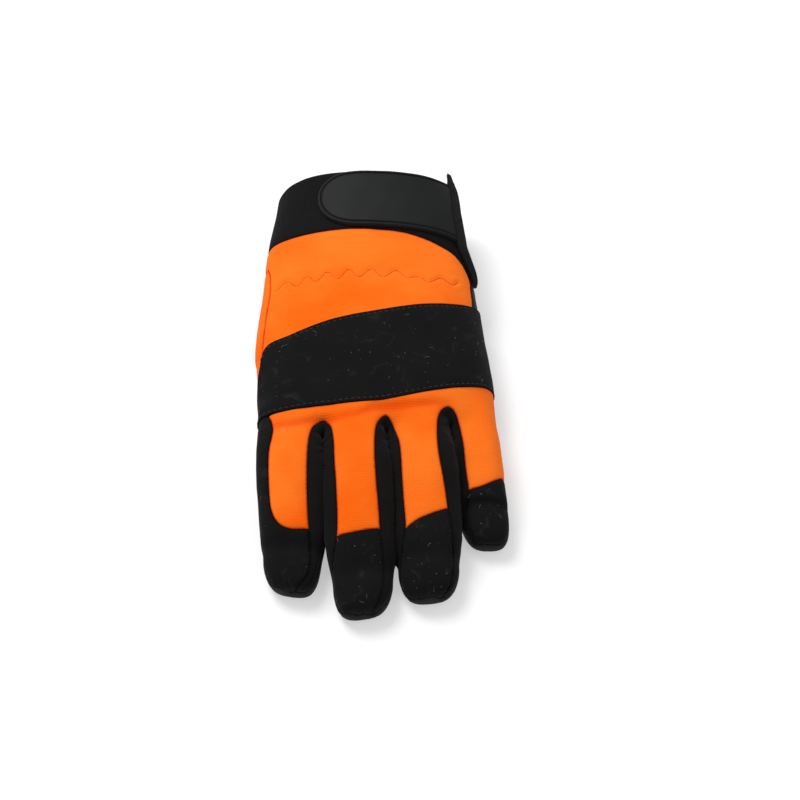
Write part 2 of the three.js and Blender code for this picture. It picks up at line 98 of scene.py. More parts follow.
# What is left of a fingertip's width, top and underside where it ends.
TIP_END = (0.32, 0.25, 0.45)
TIP_ROUNDING = 19.0
TIP_STEPS = 6
TIP_TURN = 0.97
# How square a ring is: two is round, and the side that lies on the table is the squarest.
HAND_POWER = 2.2
FINGER_POWER = 2.7
TABLE_POWER = 3.0


def through_rows(rows, between=6):
    """Rows in between the given ones, on a smooth curve through them."""
    rows = np.array(rows, float)
    first, last = 2 * rows[0] - rows[1], 2 * rows[-1] - rows[-2]
    padded = np.vstack([first, rows, last])
    out = []
    for p0, p1, p2, p3 in zip(padded, padded[1:], padded[2:], padded[3:]):
        for t in np.arange(between) / between:
            out.append(0.5 * (2 * p1 + (p2 - p0) * t + (2 * p0 - 5 * p1 + 4 * p2 - p3) * t ** 2
                              + (3 * p1 - p0 - 3 * p2 + p3) * t ** 3))
    return np.array(out + [rows[-1]])


def section(y, left, right, top, bottom, left_edge, right_edge, power, floor_power, sides=72):
    """A closed ring across the hand, rounder above than on the side that lies on the table."""
    turn = 2 * np.pi * np.arange(sides) / sides
    across, up = np.cos(turn), np.sin(turn)
    edge = right_edge + (left_edge - right_edge) * (1 - across) / 2
    bend = np.where(up >= 0, 2 / power, 2 / floor_power)
    reach = np.where(up >= 0, top - edge, edge - bottom)
    x = (left + right) / 2 + (right - left) / 2 * np.sign(across) * np.abs(across) ** bend
    z = edge + reach * np.sign(up) * np.abs(up) ** bend
    return np.stack([x, np.full(sides, y), z], axis=1)


def ring_faces(rings, around):
    """The faces between neighbouring closed rings of points."""
    return [(k * around + i, k * around + j, (k + 1) * around + j, (k + 1) * around + i)
            for k in range(rings - 1) for i in range(around) for j in [(i + 1) % around]]


def tube(rings):
    """Closed rings of points, listed from the cuff to the fingertips, joined and closed at both ends."""
    around = len(rings[0])
    points = np.vstack(rings + [rings[0].mean(0), rings[-1].mean(0)])
    faces = ring_faces(len(rings), around)
    last = (len(rings) - 1) * around
    for i in range(around):
        j = (i + 1) % around
        faces.append((len(points) - 2, j, i))
        faces.append((len(points) - 1, last + i, last + j))
    return points, faces


def hand_tube(inset=0.0, rows=HAND):
    return tube([
        section(y, left + inset, right - inset, top - inset, inset - PRESSED, left_edge, right_edge,
                HAND_POWER, TABLE_POWER)
        for y, left, right, top, left_edge, right_edge in through_rows(rows)
    ])


def finger_tube(root_x, tip_x, root, length, width, taper, under, top, tip_top, lean):
    rows = []
    for at, wide, tapered, rise, lift in FINGER_SHAPE:
        high = tip_top + (top - tip_top) * rise
        rows.append((at, wide * width * (1 - (1 - taper) * tapered), high, under * lift - PRESSED))
    middle = tip_top * 0.4
    for k in range(TIP_STEPS + 1):
        turn = math.pi / 2 * k / TIP_STEPS * TIP_TURN
        full = math.cos(turn) ** 0.8
        at = 1 - TIP_ROUNDING * (1 - math.sin(turn) ** 0.9) / length
        wide, above, below = [end + (1 - end) * full for end in TIP_END]
        high = middle + (tip_top - middle) * above
        rows.append((at, width * taper * 0.98 * wide, high, middle - (middle + PRESSED) * below))
    rings = []
    for at, wide, high, low in through_rows(rows):
        x = root_x + (tip_x - root_x) * at
        edge = low + 0.46 * (high - low)
        left, right = x - wide / 2, x + wide / 2
        ring = section(root - at * length, left, right, high, low, edge, edge, FINGER_POWER, TABLE_POWER)
        ring[:, 1] += lean * (ring[:, 0] - x) * max(0.0, (at - 0.6) / 0.4)
        rings.append(ring)
    return tube(rings)


def linked(name, data):
    piece = bpy.data.objects.new(name, data)
    bpy.context.scene.collection.objects.link(piece)
    return piece


def mesh_from(name, parts):
    """One object in the frame's metres from several lists of points and faces."""
    points, faces, shift = [], [], 0
    for corners, polygons in parts:
        points.append(corners)
        faces += [tuple(i + shift for i in p) for p in polygons]
        shift += len(corners)
    mesh = bpy.data.meshes.new(name)
    mesh.from_pydata(to_frame(np.vstack(points)).tolist(), [], faces)
    mesh.validate()
    return linked(name, mesh)


def settled(piece):
    """Turns an object with its modifiers into a plain mesh of its own."""
    evaluated = piece.evaluated_get(bpy.context.evaluated_depsgraph_get())
    mesh = bpy.data.meshes.new_from_object(evaluated)
    piece.modifiers.clear()
    old = piece.data
    piece.data = mesh
    bpy.data.meshes.remove(old)


def read_all(items, key, width, kind=float):
    """One property of all points or edges of a mesh, as an array."""
    flat = np.empty(len(items) * width, dtype=kind)
    items.foreach_get(key, flat)
    return flat.reshape(-1, width)


def points_of(mesh):
    return read_all(mesh.vertices, "co", 3)


def normals_of(mesh):
    return read_all(mesh.vertices, "normal", 3)


def edges_of(mesh):
    return read_all(mesh.edges, "vertices", 2, np.int64)


def set_points(mesh, points):
    mesh.vertices.foreach_set("co", np.asarray(points, float).ravel())
    mesh.update()


def tag_points(mesh, name, values):
    mesh.attributes.new(name, "FLOAT", "POINT").data.foreach_set("value", values)


# Where two fingers part: start at the crotch, a point past the fingertips, and how far along they come apart.
PARTINGS = {
    "index_middle": ((-29.0, -7.3), (-25.4, -107.0), 60.0),
    "middle_ring": ((2.6, -4.7), (9.3, -107.0), 47.0),
    "ring_little": ((33.9, 1.9), (46.3, -107.0), 36.0),
}
# Half of a slot's width as it is cut and once the fingers are drawn together.
SLOT_OPEN = 1.5
SLOT_SHUT = 0.16
APART_AT_TIPS = 0.9


def axes_of(start, end):
    """A line's start, its direction, and the direction to its side."""
    start, end = np.array(start), np.array(end)
    along = (end - start) / np.linalg.norm(end - start)
    return start, along, np.array([-along[1], along[0]])


def slot_tube(start, end, half):
    """A slot's space in plan, round at the crotch and open past the fingertips, as a tall block."""
    far = np.array(end)
    start, along, side = axes_of(start, end)
    turns = np.linspace(math.pi / 2, -math.pi / 2, 9)
    rounded = [start - side * half * math.sin(-t) - along * half * math.cos(t) for t in turns]
    outline = np.array([far - side * half, *rounded, far + side * half])
    count = len(outline)
    low = np.column_stack([outline, np.full(count, -20.0)])
    high = np.column_stack([outline, np.full(count, 90.0)])
    faces = [tuple(range(count))[::-1], tuple(range(count, 2 * count)), *ring_faces(2, count)]
    return np.vstack([low, high]), faces


def pocket_tube():
    """The space under the palm that the folded thumb lies in."""
    rows = [(43.5, 21.0), (27.0, 18.4), (-9.0, 18.4), (-22.0, 13.5)]
    return tube([section(y, -120, -21.5, top, -30, 0, 0, 6, 3) for y, top in rows])


def relaxed(points, edges, strength, rounds):
    """Moves each point towards the middle of its neighbours, by its own strength."""
    count = len(points)
    ends = np.concatenate([edges[:, 0], edges[:, 1]])
    others = np.concatenate([edges[:, 1], edges[:, 0]])
    neighbours = np.maximum(np.bincount(ends, minlength=count), 1)[:, None]
    strength = np.broadcast_to(np.asarray(strength, float).reshape(-1, 1), (count, 1))
    for _ in range(rounds):
        middle = np.stack([np.bincount(ends, points[others, k], minlength=count) for k in range(3)], axis=1)
        points = points + strength * (middle / neighbours - points)
    return points


def ramp(value, low, high):
    t = np.clip((value - low) / (high - low), 0, 1)
    return t * t * (3 - 2 * t)


def fuse(piece, voxel, cutters=()):
    """Runs overlapping forms together into one skin, and takes the cutters' space out of it."""
    def even_out():
        step = piece.modifiers.new("even", "REMESH")
        step.mode = "VOXEL"
        step.voxel_size = voxel / 1000

    even_out()
    for cutter in cutters:
        cut = piece.modifiers.new("cut", "BOOLEAN")
        cut.operation = "DIFFERENCE"
        cut.solver = "MANIFOLD"
        cut.object = cutter
    if cutters:
        even_out()
    settled(piece)
    for cutter in cutters:
        bpy.data.objects.remove(cutter)


skin = mesh_from("skin", [hand_tube()] + [finger_tube(*sizes) for sizes in FINGERS.values()])
slots = [mesh_from("slot", [slot_tube(start, end, SLOT_OPEN)]) for start, end, _ in PARTINGS.values()]
fuse(skin, FIBRE, slots + [mesh_from("pocket", [pocket_tube()])])

places = from_frame(points_of(skin.data))
links = edges_of(skin.data)
near_roots = ramp(places[:, 1], -16, 4) * (1 - ramp(places[:, 1], 26, 40)) * ramp(places[:, 2], 22, 30)
places = relaxed(places, links, 0.5, 5)
places = relaxed(places, links, 0.6 * near_roots, 60)


def from_parting(places, start, end):
    """Distances along and across the line where two fingers part."""
    start, along, side = axes_of(start, end)
    flat = places[:, :2] - start
    return flat @ along, flat @ side, side


def close_slot(places, start, end, apart):
    """Draws two fingers together, since the slot between them was cut wide, up to where they come apart."""
    along, across, side = from_parting(places, start, end)
    reach = 10.0
    pull = SLOT_OPEN - SLOT_SHUT - APART_AT_TIPS * ramp(along, apart - 5, apart + 7)
    pull = pull * np.clip(1 - (np.abs(across) - SLOT_OPEN) / (reach - SLOT_OPEN), 0, 1)
    pull *= ramp(along, -1.0, 4.0)
    out = places.copy()
    out[:, :2] -= (np.sign(across) * pull)[:, None] * side
    return out


def sink_crotch(places, start, end):
    """The hollow behind the crotch, where the gusset between two fingers dips under the back's edge."""
    along, across, _ = from_parting(places, start, end)
    dip = 2.1 * np.exp(-(across / 3.2) ** 2) * ramp(along, -5.5, -0.5) * (1 - ramp(along, 6.0, 16.0))
    out = places.copy()
    out[:, 2] -= dip * ramp(places[:, 2], 20, 30)
    return out


for start, end, apart in PARTINGS.values():
    places = close_slot(places, start, end, apart)
    places = sink_crotch(places, start, end)


def soft_noise(places, size, seed=0):
    offset = Vector((seed * 7.3, seed * 3.1, seed * 5.7))
    return np.array([noise.noise(Vector(p) / size + offset) for p in places])


# The crease across the back between the knuckle patch and the crotches, as points from left to right.
CREASE = [
    (-53.5, -5.0), (-43.5, -4.5), (-33.2, -1.6), (-21.8, -1.0), (-12.2, 0.8), (-2.8, 4.0), (10.6, 5.3),
    (27.8, 8.0),
]


def behind_crease(places):
    xs, ys = np.array(CREASE).T
    return places[:, 1] - np.interp(places[:, 0], xs, ys)


def crease_share(places):
    """Where the crease is: one along it, fading out at its ends and down the sides."""
    span = ramp(places[:, 0], -58, -50) * (1 - ramp(places[:, 0], 22, 40))
    return span * ramp(places[:, 2], 28, 34)


upper = ramp(places[:, 2], 3, 12)
set_points(skin.data, to_frame(places))
outward = normals_of(skin.data)
swell = 0.55 * soft_noise(places, 26.0) + 0.22 * soft_noise(places, 9.0, 1)
behind = behind_crease(places)
dip = 0.95 * np.exp(-(behind / 2.1) ** 2) - 0.3 * np.exp(-((behind - 4.4) / 2.2) ** 2)
places = places + outward * ((swell * upper) - dip * crease_share(places))[:, None]
places[:, 2] = np.maximum(places[:, 2], 0.0)
set_points(skin.data, to_frame(places))
# Painted shade along the crease: a share that darkens the orange's colour there, on top of the real dip's
# shading.
painted_crease_shade = np.exp(-((behind_crease(places) + 0.3) / 1.8) ** 2)
tag_points(skin.data, "painted_crease_shade", painted_crease_shade * crease_share(places))

# Seams: each panel is a stretch of the skin, bounded by lines drawn in plan from the photograph. Where panels
# overlap, the first one named in FIELDS has the face, and what no line claims is the palm.
WRIST_SEAM = [
    (-90, 116), (-66, 114.5), (-57.8, 113.2), (-50.3, 112.8), (-40, 113), (-29.8, 113.2), (-17.6, 113.4),
    (-7.5, 113.2), (3.6, 112.6), (13.7, 111.4), (22.8, 109.5), (30.9, 107.3), (38.5, 104.6), (43.7, 100.4),
    (47.5, 95.5), (52, 91), (70, 88),
]
LITTLE_SIDE_SEAM = [(43.0, 101.5), (46.7, 93.8), (48.4, 81.4), (49.2, 74.6), (51, 68), (56, 60), (70, 52)]
GUSSET_SEAM = [
    (-60.8, 99), (-59.2, 92), (-58.9, 80), (-60.0, 68), (-60.7, 58), (-61.3, 44), (-61.5, 26), (-61.5, 10),
]
INDEX_STRIP = [
    (-66, 6.5), (-57.4, 4.5), (-56.4, 1.2), (-54.6, -2.6), (-53.6, -7.0), (-54.2, -12.0), (-55.2, -17.5),
    (-55.5, -24), (-55.3, -32), (-54.7, -40.3), (-53.9, -46.5), (-51.6, -52.2), (-47.8, -56.0),
    (-42.5, -57.3), (-34.8, -56.9), (-24, -56.6),
]
CAPS = {
    "index": INDEX_STRIP,
    "middle": [(-34, -63.0), (-21.2, -61.2), (-13.5, -60.2), (-6.1, -58.9), (-0.1, -58.2), (8, -57.6)],
    "ring": [
        (4, -60.0), (12.2, -56.1), (18.0, -52.7), (24.6, -50.0), (29.2, -48.3), (33.0, -46.8), (40, -44.5),
    ],
    "little": [(36, -34.0), (43.3, -33.1), (50.3, -31.6), (58.0, -27.6), (61.6, -24.2), (70, -17.0)],
}
NOTCHES = {
    "index_middle": [
        (-41.0, -83.5), (-36.2, -79.8), (-34.2, -75.0), (-33.7, -69.0), (-34.2, -62.0), (-34.8, -56.9),
        (-35.4, -50.0), (-35.9, -42.0), (-36.2, -30.0), (-36.1, -20.0), (-35.6, -12.0), (-34.1, -6.0),
        (-32.1, -2.3), (-28.8, -0.4), (-26.0, -2.8), (-24.5, -7.6), (-23.5, -14.7), (-22.9, -25.0),
        (-22.2, -33.0), (-21.7, -41.3), (-21.2, -50.7), (-21.4, -61.2), (-23.0, -70.0), (-24.2, -80.0),
        (-22.5, -88.0), (-19.0, -95.0),
    ],
    "middle_ring": [
        (-6.0, -97.0), (-1.6, -92.6), (0.8, -88.0), (1.8, -81.0), (1.7, -73.0), (0.8, -64.5),
        (-0.1, -58.0), (-0.6, -50.9), (-1.3, -43.0), (-2.1, -35.0), (-2.7, -26.0), (-3.0, -18.0),
        (-2.8, -11.5), (-2.1, -5.6), (-0.4, -1.6), (2.4, 1.0), (5.0, -1.4), (7.6, -8.2), (9.2, -14.4),
        (9.9, -22.8), (10.4, -32.0), (11.0, -41.3), (11.7, -49.5), (12.0, -56.1), (10.6, -65.0),
        (9.6, -75.0), (10.6, -83.0), (14.0, -90.0),
    ],
    "ring_little": [
        (25.0, -89.0), (30.0, -86.4), (33.6, -83.0), (35.2, -77.0), (35.6, -69.0), (35.3, -61.0),
        (34.3, -53.0), (33.0, -46.6), (31.9, -38.0), (30.4, -29.1), (29.0, -21.5), (28.1, -13.2),
        (28.0, -6.0), (28.6, 0.2), (30.4, 4.8), (33.6, 7.0), (36.6, 5.6), (38.6, 1.6), (40.0, -4.0),
        (41.1, -11.0), (41.7, -18.6), (42.3, -25.4), (43.3, -33.1), (42.4, -42.0), (43.0, -50.0),
        (47.0, -58.5),
    ],
}

# The height of the seam between back and palm, for places along Y.
SIDE_SEAM = [
    (-120, 8), (-100, 8.2), (-80, 9.5), (-60, 12), (-40, 15), (-20, 21), (0, 25.5), (11, 29), (90, 29),
    (97, 24), (250, 23),
]
LOW_SIDE = [(45, -130), (45, 13), (32, 34), (32, 71), (90, 60), (90, -130)]
LOW_SIDE_HEIGHT = 9.4
GUSSET_HEIGHT = 14
FINGER_SEAM = -6.8
FAR = 6.0


def curve_through(corners, between=4):
    return through_rows(corners, between)


def outline_distance(places, outline):
    """Signed distance in plan to a closed outline, negative inside, and FAR where it is further outside."""
    outline = np.asarray(outline, float)
    low, high = outline.min(0) - FAR, outline.max(0) + FAR
    flat = places[:, :2]
    near = np.all((flat > low) & (flat < high), axis=1)
    out = np.full(len(places), FAR)
    p = flat[near]
    best = np.full(len(p), 1e9)
    inside = np.zeros(len(p), bool)
    for a, b in zip(outline, np.roll(outline, -1, axis=0)):
        ab = b - a
        t = np.clip((p - a) @ ab / max(ab @ ab, 1e-9), 0, 1)
        gap = p - a - t[:, None] * ab
        best = np.minimum(best, (gap * gap).sum(1))
        crosses = (a[1] > p[:, 1]) != (b[1] > p[:, 1])
        if abs(ab[1]) > 1e-12:
            inside ^= crosses & (p[:, 0] < a[0] + (p[:, 1] - a[1]) * ab[0] / ab[1])
    out[near] = np.where(inside, -1, 1) * np.sqrt(best)
    return out


def beyond(line, corners):
    """A closed outline: a smooth line, and the far corners behind it."""
    return np.vstack([curve_through(line), np.array(corners, float)])


def cuff_field(p):
    return outline_distance(p, beyond(WRIST_SEAM, [(90, 300), (-90, 300)]))


def seam_height(p):
    """The height of the seam between back and palm, uneven where it is gathered round the fingertips."""
    ys, zs = np.array(SIDE_SEAM).T
    at_tips = 1 - ramp(p[:, 1], -76, -60)
    waves = 1.3 * np.sin(p[:, 0] / 2.9) + 0.7 * np.sin(p[:, 0] / 1.3 + 1)
    return np.interp(p[:, 1], ys, zs) + at_tips * waves


def above_field(p):
    high = seam_height(p) - p[:, 2]
    low = np.maximum(outline_distance(p, LOW_SIDE), LOW_SIDE_HEIGHT - p[:, 2])
    side = outline_distance(p, beyond(LITTLE_SIDE_SEAM, [(120, 52), (120, 130), (52, 130)]))
    return np.maximum(np.minimum(high, low), -side)


def gusset_field(p):
    outline = beyond(GUSSET_SEAM, [(-90, 10), (-90, 99)])
    return np.maximum(outline_distance(p, outline), GUSSET_HEIGHT - p[:, 2])


def cap_field(name):
    line = CAPS[name]
    far = [(line[-1][0], -130), (-90 if name == "index" else line[0][0], -130)]
    if name == "index":
        far.append((-90, 6.5))
    return above_within(beyond(line, far))


def notch_field(name):
    line = NOTCHES[name]
    return above_within(beyond(line, [(line[-1][0], -130), (line[0][0], -130)]))


def above_within(outline):
    return lambda p: np.maximum(outline_distance(p, outline), above_field(p))


FIELDS = {"cuff": cuff_field, "thumb_gusset": gusset_field}
FIELDS.update({"fourchette_" + name: notch_field(name) for name in NOTCHES})
FIELDS.update({name + "_tip": cap_field(name) for name in CAPS})
FIELDS["back_panel"] = above_field
FIELDS["finger_fronts"] = lambda p: p[:, 1] - FINGER_SEAM
panels = [*FIELDS, "palm"]


def cut_skin(bm, field):
    """Splits faces along the line where the field is nought, after drawing the nearest points onto it."""
    bm.verts.ensure_lookup_table()
    places = from_frame([v.co for v in bm.verts])
    value = field(places)
    step = 0.01
    near = np.abs(value) < FIBRE / 4
    if near.any():
        close = places[near]
        slope = np.stack([field(close + step * axis) - value[near] for axis in np.eye(3)], axis=1) / step
        size = np.maximum((slope * slope).sum(1), 0.25)
        moved = close - slope * (value[near] / size)[:, None]
        for k, spot in zip(np.nonzero(near)[0], to_frame(moved)):
            bm.verts[k].co = spot
        value[near] = 0.0
    crossing = [e for e in bm.edges if value[e.verts[0].index] * value[e.verts[1].index] < 0]
    on_line = dict.fromkeys(bm.verts[k] for k in np.nonzero(near)[0])
    for edge in crossing:
        a, b = edge.verts
        share = value[a.index] / (value[a.index] - value[b.index])
        _, fresh = bmesh.utils.edge_split(edge, a, float(share))
        on_line[fresh] = None
    for face in dict.fromkeys(f for v in on_line for f in v.link_faces):
        ring = list(face.verts)
        marked = [i for i, v in enumerate(ring) if v in on_line]
        if len(marked) == 2 and (marked[1] - marked[0]) % len(ring) not in (1, len(ring) - 1):
            bmesh.utils.face_split(face, ring[marked[0]], ring[marked[1]])
    bm.verts.index_update()


def cut_away(bm, spot, direction):
    """Cuts off what lies past a flat plane."""
    geometry = bm.verts[:] + bm.edges[:] + bm.faces[:]
    plane = to_frame([spot])[0]
    bmesh.ops.bisect_plane(bm, geom=geometry, plane_co=plane, plane_no=direction, clear_outer=True)


bm = bmesh.new()
bm.from_mesh(skin.data)
cut_away(bm, (0, RIM, 0), (0, 1, 0))
for field in FIELDS.values():
    cut_skin(bm, field)
bm.faces.ensure_lookup_table()
centres = from_frame([f.calc_center_median() for f in bm.faces])
owner = np.full(len(centres), panels.index("palm"))
for k, field in reversed(list(enumerate(FIELDS.values()))):
    owner[field(centres) < 0] = k
bm.to_mesh(skin.data)
bm.free()


def panel_mesh(name, panel):
    """A panel's faces of the skin as an object of their own."""
    bm = bmesh.new()
    bm.from_mesh(skin.data)
    bm.faces.ensure_lookup_table()
    unwanted = [bm.faces[i] for i in np.nonzero(owner != panels.index(panel))[0]]
    bmesh.ops.delete(bm, geom=unwanted, context="FACES")
    mesh = bpy.data.meshes.new(name)
    bm.to_mesh(mesh)
    bm.free()
    return linked(name, mesh)


def tree_of(points):
    """A tree that finds the nearest of some points."""
    tree = KDTree(len(points))
    for k, point in enumerate(points):
        tree.insert(point, k)
    tree.balance()
    return tree


def seam_distance(mesh):
    """Each point's distance to the mesh's open edge, in millimetres."""
    counts = np.zeros(len(mesh.edges), int)
    np.add.at(counts, read_all(mesh.loops, "edge_index", 1, np.int64).ravel(), 1)
    points = points_of(mesh)
    tree = tree_of(points[np.unique(edges_of(mesh)[counts == 1])])
    return np.array([tree.find(p)[2] for p in points]) * 1000


def finish_panel(piece, roll=0.55, roll_width=2.4, thickness=1.5, puff=0.0, relief=None):
    """Turns a stretch of skin into sewn cloth: its edge rolls into the seam, and it gets a thickness."""
    mesh = piece.data
    distance = seam_distance(mesh)
    normal = normals_of(mesh)
    points = points_of(mesh)
    lift = -roll * np.clip(1 - distance / roll_width, 0, 1) ** 2 + puff * ramp(distance, 0.4, 6.0)
    if relief:
        lift += relief(from_frame(points), distance, normal)
    points = points + normal * (lift / 1000)[:, None]
    points[:, 2] = np.maximum(points[:, 2], 0)
    set_points(mesh, points)
    tag_points(mesh, "seam", distance)
    mesh.shade_smooth()
    solid = piece.modifiers.new("cloth", "SOLIDIFY")
    solid.thickness = thickness / 1000
    solid.offset = -1
    settled(piece)
    return piece


def place(piece, material, slot, *nodes):
    piece.data.materials.clear()
    piece.data.materials.append(material)
    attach(piece, "root")
    if nodes:
        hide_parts(*nodes)
    return piece


def feed(tree, node, key, value):
    """Sets an input, named or numbered, or joins another node's output to it."""
    socket = node.inputs[int(key)] if key.isdigit() else node.inputs[key.replace("_", " ")]
    if isinstance(value, bpy.types.NodeSocket):
        tree.links.new(value, socket)
    else:
        socket.default_value = value


def add_node(tree, kind, settings=None, **inputs):
    made = tree.nodes.new(kind)
    for key, value in (settings or {}).items():
        setattr(made, key, value)
    for key, value in inputs.items():
        feed(tree, made, key, value)
    return made


class Recipe:
    """A material on the piece's own coordinates, built a node at a time."""

    def __init__(self, name):
        self.material = bpy.data.materials.new(name)
        self.material.use_nodes = True
        self.tree = self.material.node_tree
        self.shader = self.tree.nodes["Principled BSDF"]
        self.where = self.stretched((1, 1, 1))

    def stretched(self, scale):
        where = add_node(self.tree, "ShaderNodeTexCoord").outputs["Object"]
        return add_node(self.tree, "ShaderNodeMapping", Vector=where, Scale=scale).outputs["Vector"]

    def noise(self, scale, detail, where=None, **more):
        inputs = {"Vector": where or self.where, "Scale": scale, "Detail": detail, **more}
        return add_node(self.tree, "ShaderNodeTexNoise", **inputs).outputs["Fac"]

    def wave(self, direction, scale, distortion):
        node = add_node(self.tree, "ShaderNodeTexWave", {"bands_direction": direction}, Vector=self.where,
                        Scale=scale, Distortion=distortion, Detail=1.0, Detail_Scale=2.0)
        return node.outputs["Fac"]

    def attribute(self, name):
        return add_node(self.tree, "ShaderNodeAttribute", {"attribute_name": name}).outputs["Fac"]

    def maths(self, operation, a, b=0.0):
        return add_node(self.tree, "ShaderNodeMath", {"operation": operation}, **{"0": a, "1": b}).outputs[0]

    def mix(self, share, first, second):
        first, second = [(*c, 1) if isinstance(c, tuple) else c for c in (first, second)]
        sockets = {"0": share, "6": first, "7": second}
        return add_node(self.tree, "ShaderNodeMix", {"data_type": "RGBA"}, **sockets).outputs[2]

    def spread(self, value, low, high, first=0.0, last=1.0, kind="LINEAR"):
        ends = {"1": low, "2": high, "3": first, "4": last}
        node = add_node(self.tree, "ShaderNodeMapRange", {"interpolation_type": kind}, Value=value, **ends)
        return node.outputs["Result"]

    def painted_seam_shade(self, width):
        """A share of painted shade along the seams: one at the seam, falling to nought at a distance from it.
        """
        return self.spread(self.attribute("seam"), 0.0, width, 1.0, 0.0, "SMOOTHSTEP")

    def bump(self, height, distance, strength):
        node = add_node(self.tree, "ShaderNodeBump", Height=height, Distance=distance, Strength=strength)
        feed(self.tree, self.shader, "Normal", node.outputs["Normal"])

    def shade(self, colour, roughness, **inputs):
        for key, value in {"Base Color": colour, "Roughness": roughness, **inputs}.items():
            feed(self.tree, self.shader, key, value)
        return self.material


# The lining: a sleeve of thin dark fleece, loose in the hand and caught in the seam at the wrist. It is seen
# only through the wrist, so it is a smooth double wall that follows the hand and has no fingers.
LINING_GAP = 2.3
LINING_THICKNESS = 0.5


def black_fleece():
    recipe = Recipe("black_fleece")
    fluff = recipe.noise(2500.0, 3.0)
    recipe.bump(fluff, 0.0003, 0.8)
    return recipe.shade(recipe.mix(fluff, (0.008, 0.008, 0.009), (0.03, 0.03, 0.033)), 1.0)


def lining_sleeve():
    rows = [row for row in HAND if 5 < row[0] < 160]
    (outer, faces), (inner, _) = [hand_tube(gap, rows) for gap in (LINING_GAP, LINING_GAP + LINING_THICKNESS)]
    around = 72
    count = len(outer) - 2
    walls = [f for f in faces if len(f) == 4]
    faces = walls + [tuple(i + count for i in f[::-1]) for f in walls]
    last = count - around
    for i in range(around):
        j = (i + 1) % around
        faces.append((j, i, i + count, j + count))
        faces.append((last + i, last + j, last + j + count, last + i + count))
    points = np.vstack([outer[:-2], inner[:-2]])
    points[:, 1] = np.minimum(points[:, 1], RIM - 1.0)
    points[:, 2] = np.maximum(points[:, 2], 1.7)
    return mesh_from("lining", [(points, faces)])


lining = lining_sleeve()
lining.data.shade_smooth()
place(lining, black_fleece(), "black_knit")


# The palm and the fronts of the fingers: thin black synthetic leather with a fine grain, sewn to the back
# along the sides. It is gathered into small tucks where the seam turns round a fingertip.
def palm_leather():
    recipe = Recipe("palm_leather")
    grain = add_node(recipe.tree, "ShaderNodeTexVoronoi", {"feature": "DISTANCE_TO_EDGE"},
                     Vector=recipe.where, Scale=900.0)
    pores = recipe.noise(1400.0, 2.0)
    height = recipe.maths("ADD", grain.outputs["Distance"], recipe.maths("MULTIPLY", pores, 0.4))
    recipe.bump(height, 0.00025, 0.6)
    colour = recipe.mix(pores, (0.0055, 0.0055, 0.0056), (0.0095, 0.0095, 0.01))
    # Painted shade: the leather darkens towards its seams, where the edge rolls in.
    colour = recipe.mix(recipe.painted_seam_shade(1.6), colour, (0.004, 0.004, 0.004))
    return recipe.shade(colour, 0.68, Specular_IOR_Level=0.14)


def gathers(places, distance, normal):
    """Small tucks beside the seam that turns round the front of a fingertip."""
    at_front = ramp(-normal[:, 1], 0.15, 0.55)
    turn = places[:, 0] * 2.5 + places[:, 2] * 0.8 + 3 * soft_noise(places, 4.0, 5)
    return 0.34 * np.sin(turn) * np.exp(-(distance / 2.4) ** 2) * at_front


leather = palm_leather()
place(finish_panel(panel_mesh("palm", "palm")), leather, "black_leather", "palm_panel")
fronts = finish_panel(panel_mesh("finger_fronts", "finger_fronts"), relief=gathers)
place(fronts, leather, "black_leather", "index_front", "middle_front", "ring_front", "little_front")


# The fourchettes: strips of black knit that make the sides of neighbouring fingers, sewn between the back and
# the fronts. They pucker where they turn round the crotch.
def black_knit():
    recipe = Recipe("black_knit")
    loops, rows = [recipe.wave(direction, 420.0, 1.2) for direction in "XY"]
    recipe.bump(recipe.maths("ADD", loops, rows), 0.00012, 0.7)
    colour = recipe.mix(recipe.noise(70.0, 2.0), (0.004, 0.0036, 0.0035), (0.0085, 0.0072, 0.0068))
    # Painted shade: the knit darkens towards its seams, where the edge rolls in.
    colour = recipe.mix(recipe.painted_seam_shade(1.3), colour, (0.003, 0.003, 0.003))
    return recipe.shade(colour, 0.9, Specular_IOR_Level=0.06, Sheen_Weight=0.03, Sheen_Roughness=0.5)


def pucker(piece, start, end):
    """Short folds across the strip, strongest at the crotch."""
    mesh = piece.data
    places = from_frame(points_of(mesh))
    along, across, _ = from_parting(places, start, end)
    fade = ramp(along, -7, -3) * (1 - ramp(along, 6, 20))
    wobble = soft_noise(places, 5.0, 3)
    folds = np.sin(along * 0.95 + wobble * 4.0 + np.sign(across) * 1.3) * fade
    depth = (0.36 * folds + 0.25 * soft_noise(places, 7.0, 9)) * np.exp(-(across / 5.5) ** 2)
    set_points(mesh, points_of(mesh) + normals_of(mesh) * (depth / 1000)[:, None])


knit = black_knit()
for name, (start, end, _) in PARTINGS.items():
    strip = panel_mesh("fourchette_strip_" + name, "fourchette_" + name)
    pucker(strip, start, end)
    finish_panel(strip, roll=0.7, roll_width=2.0, puff=0.35)
    place(strip, knit, "black_knit", "fourchette_" + name)


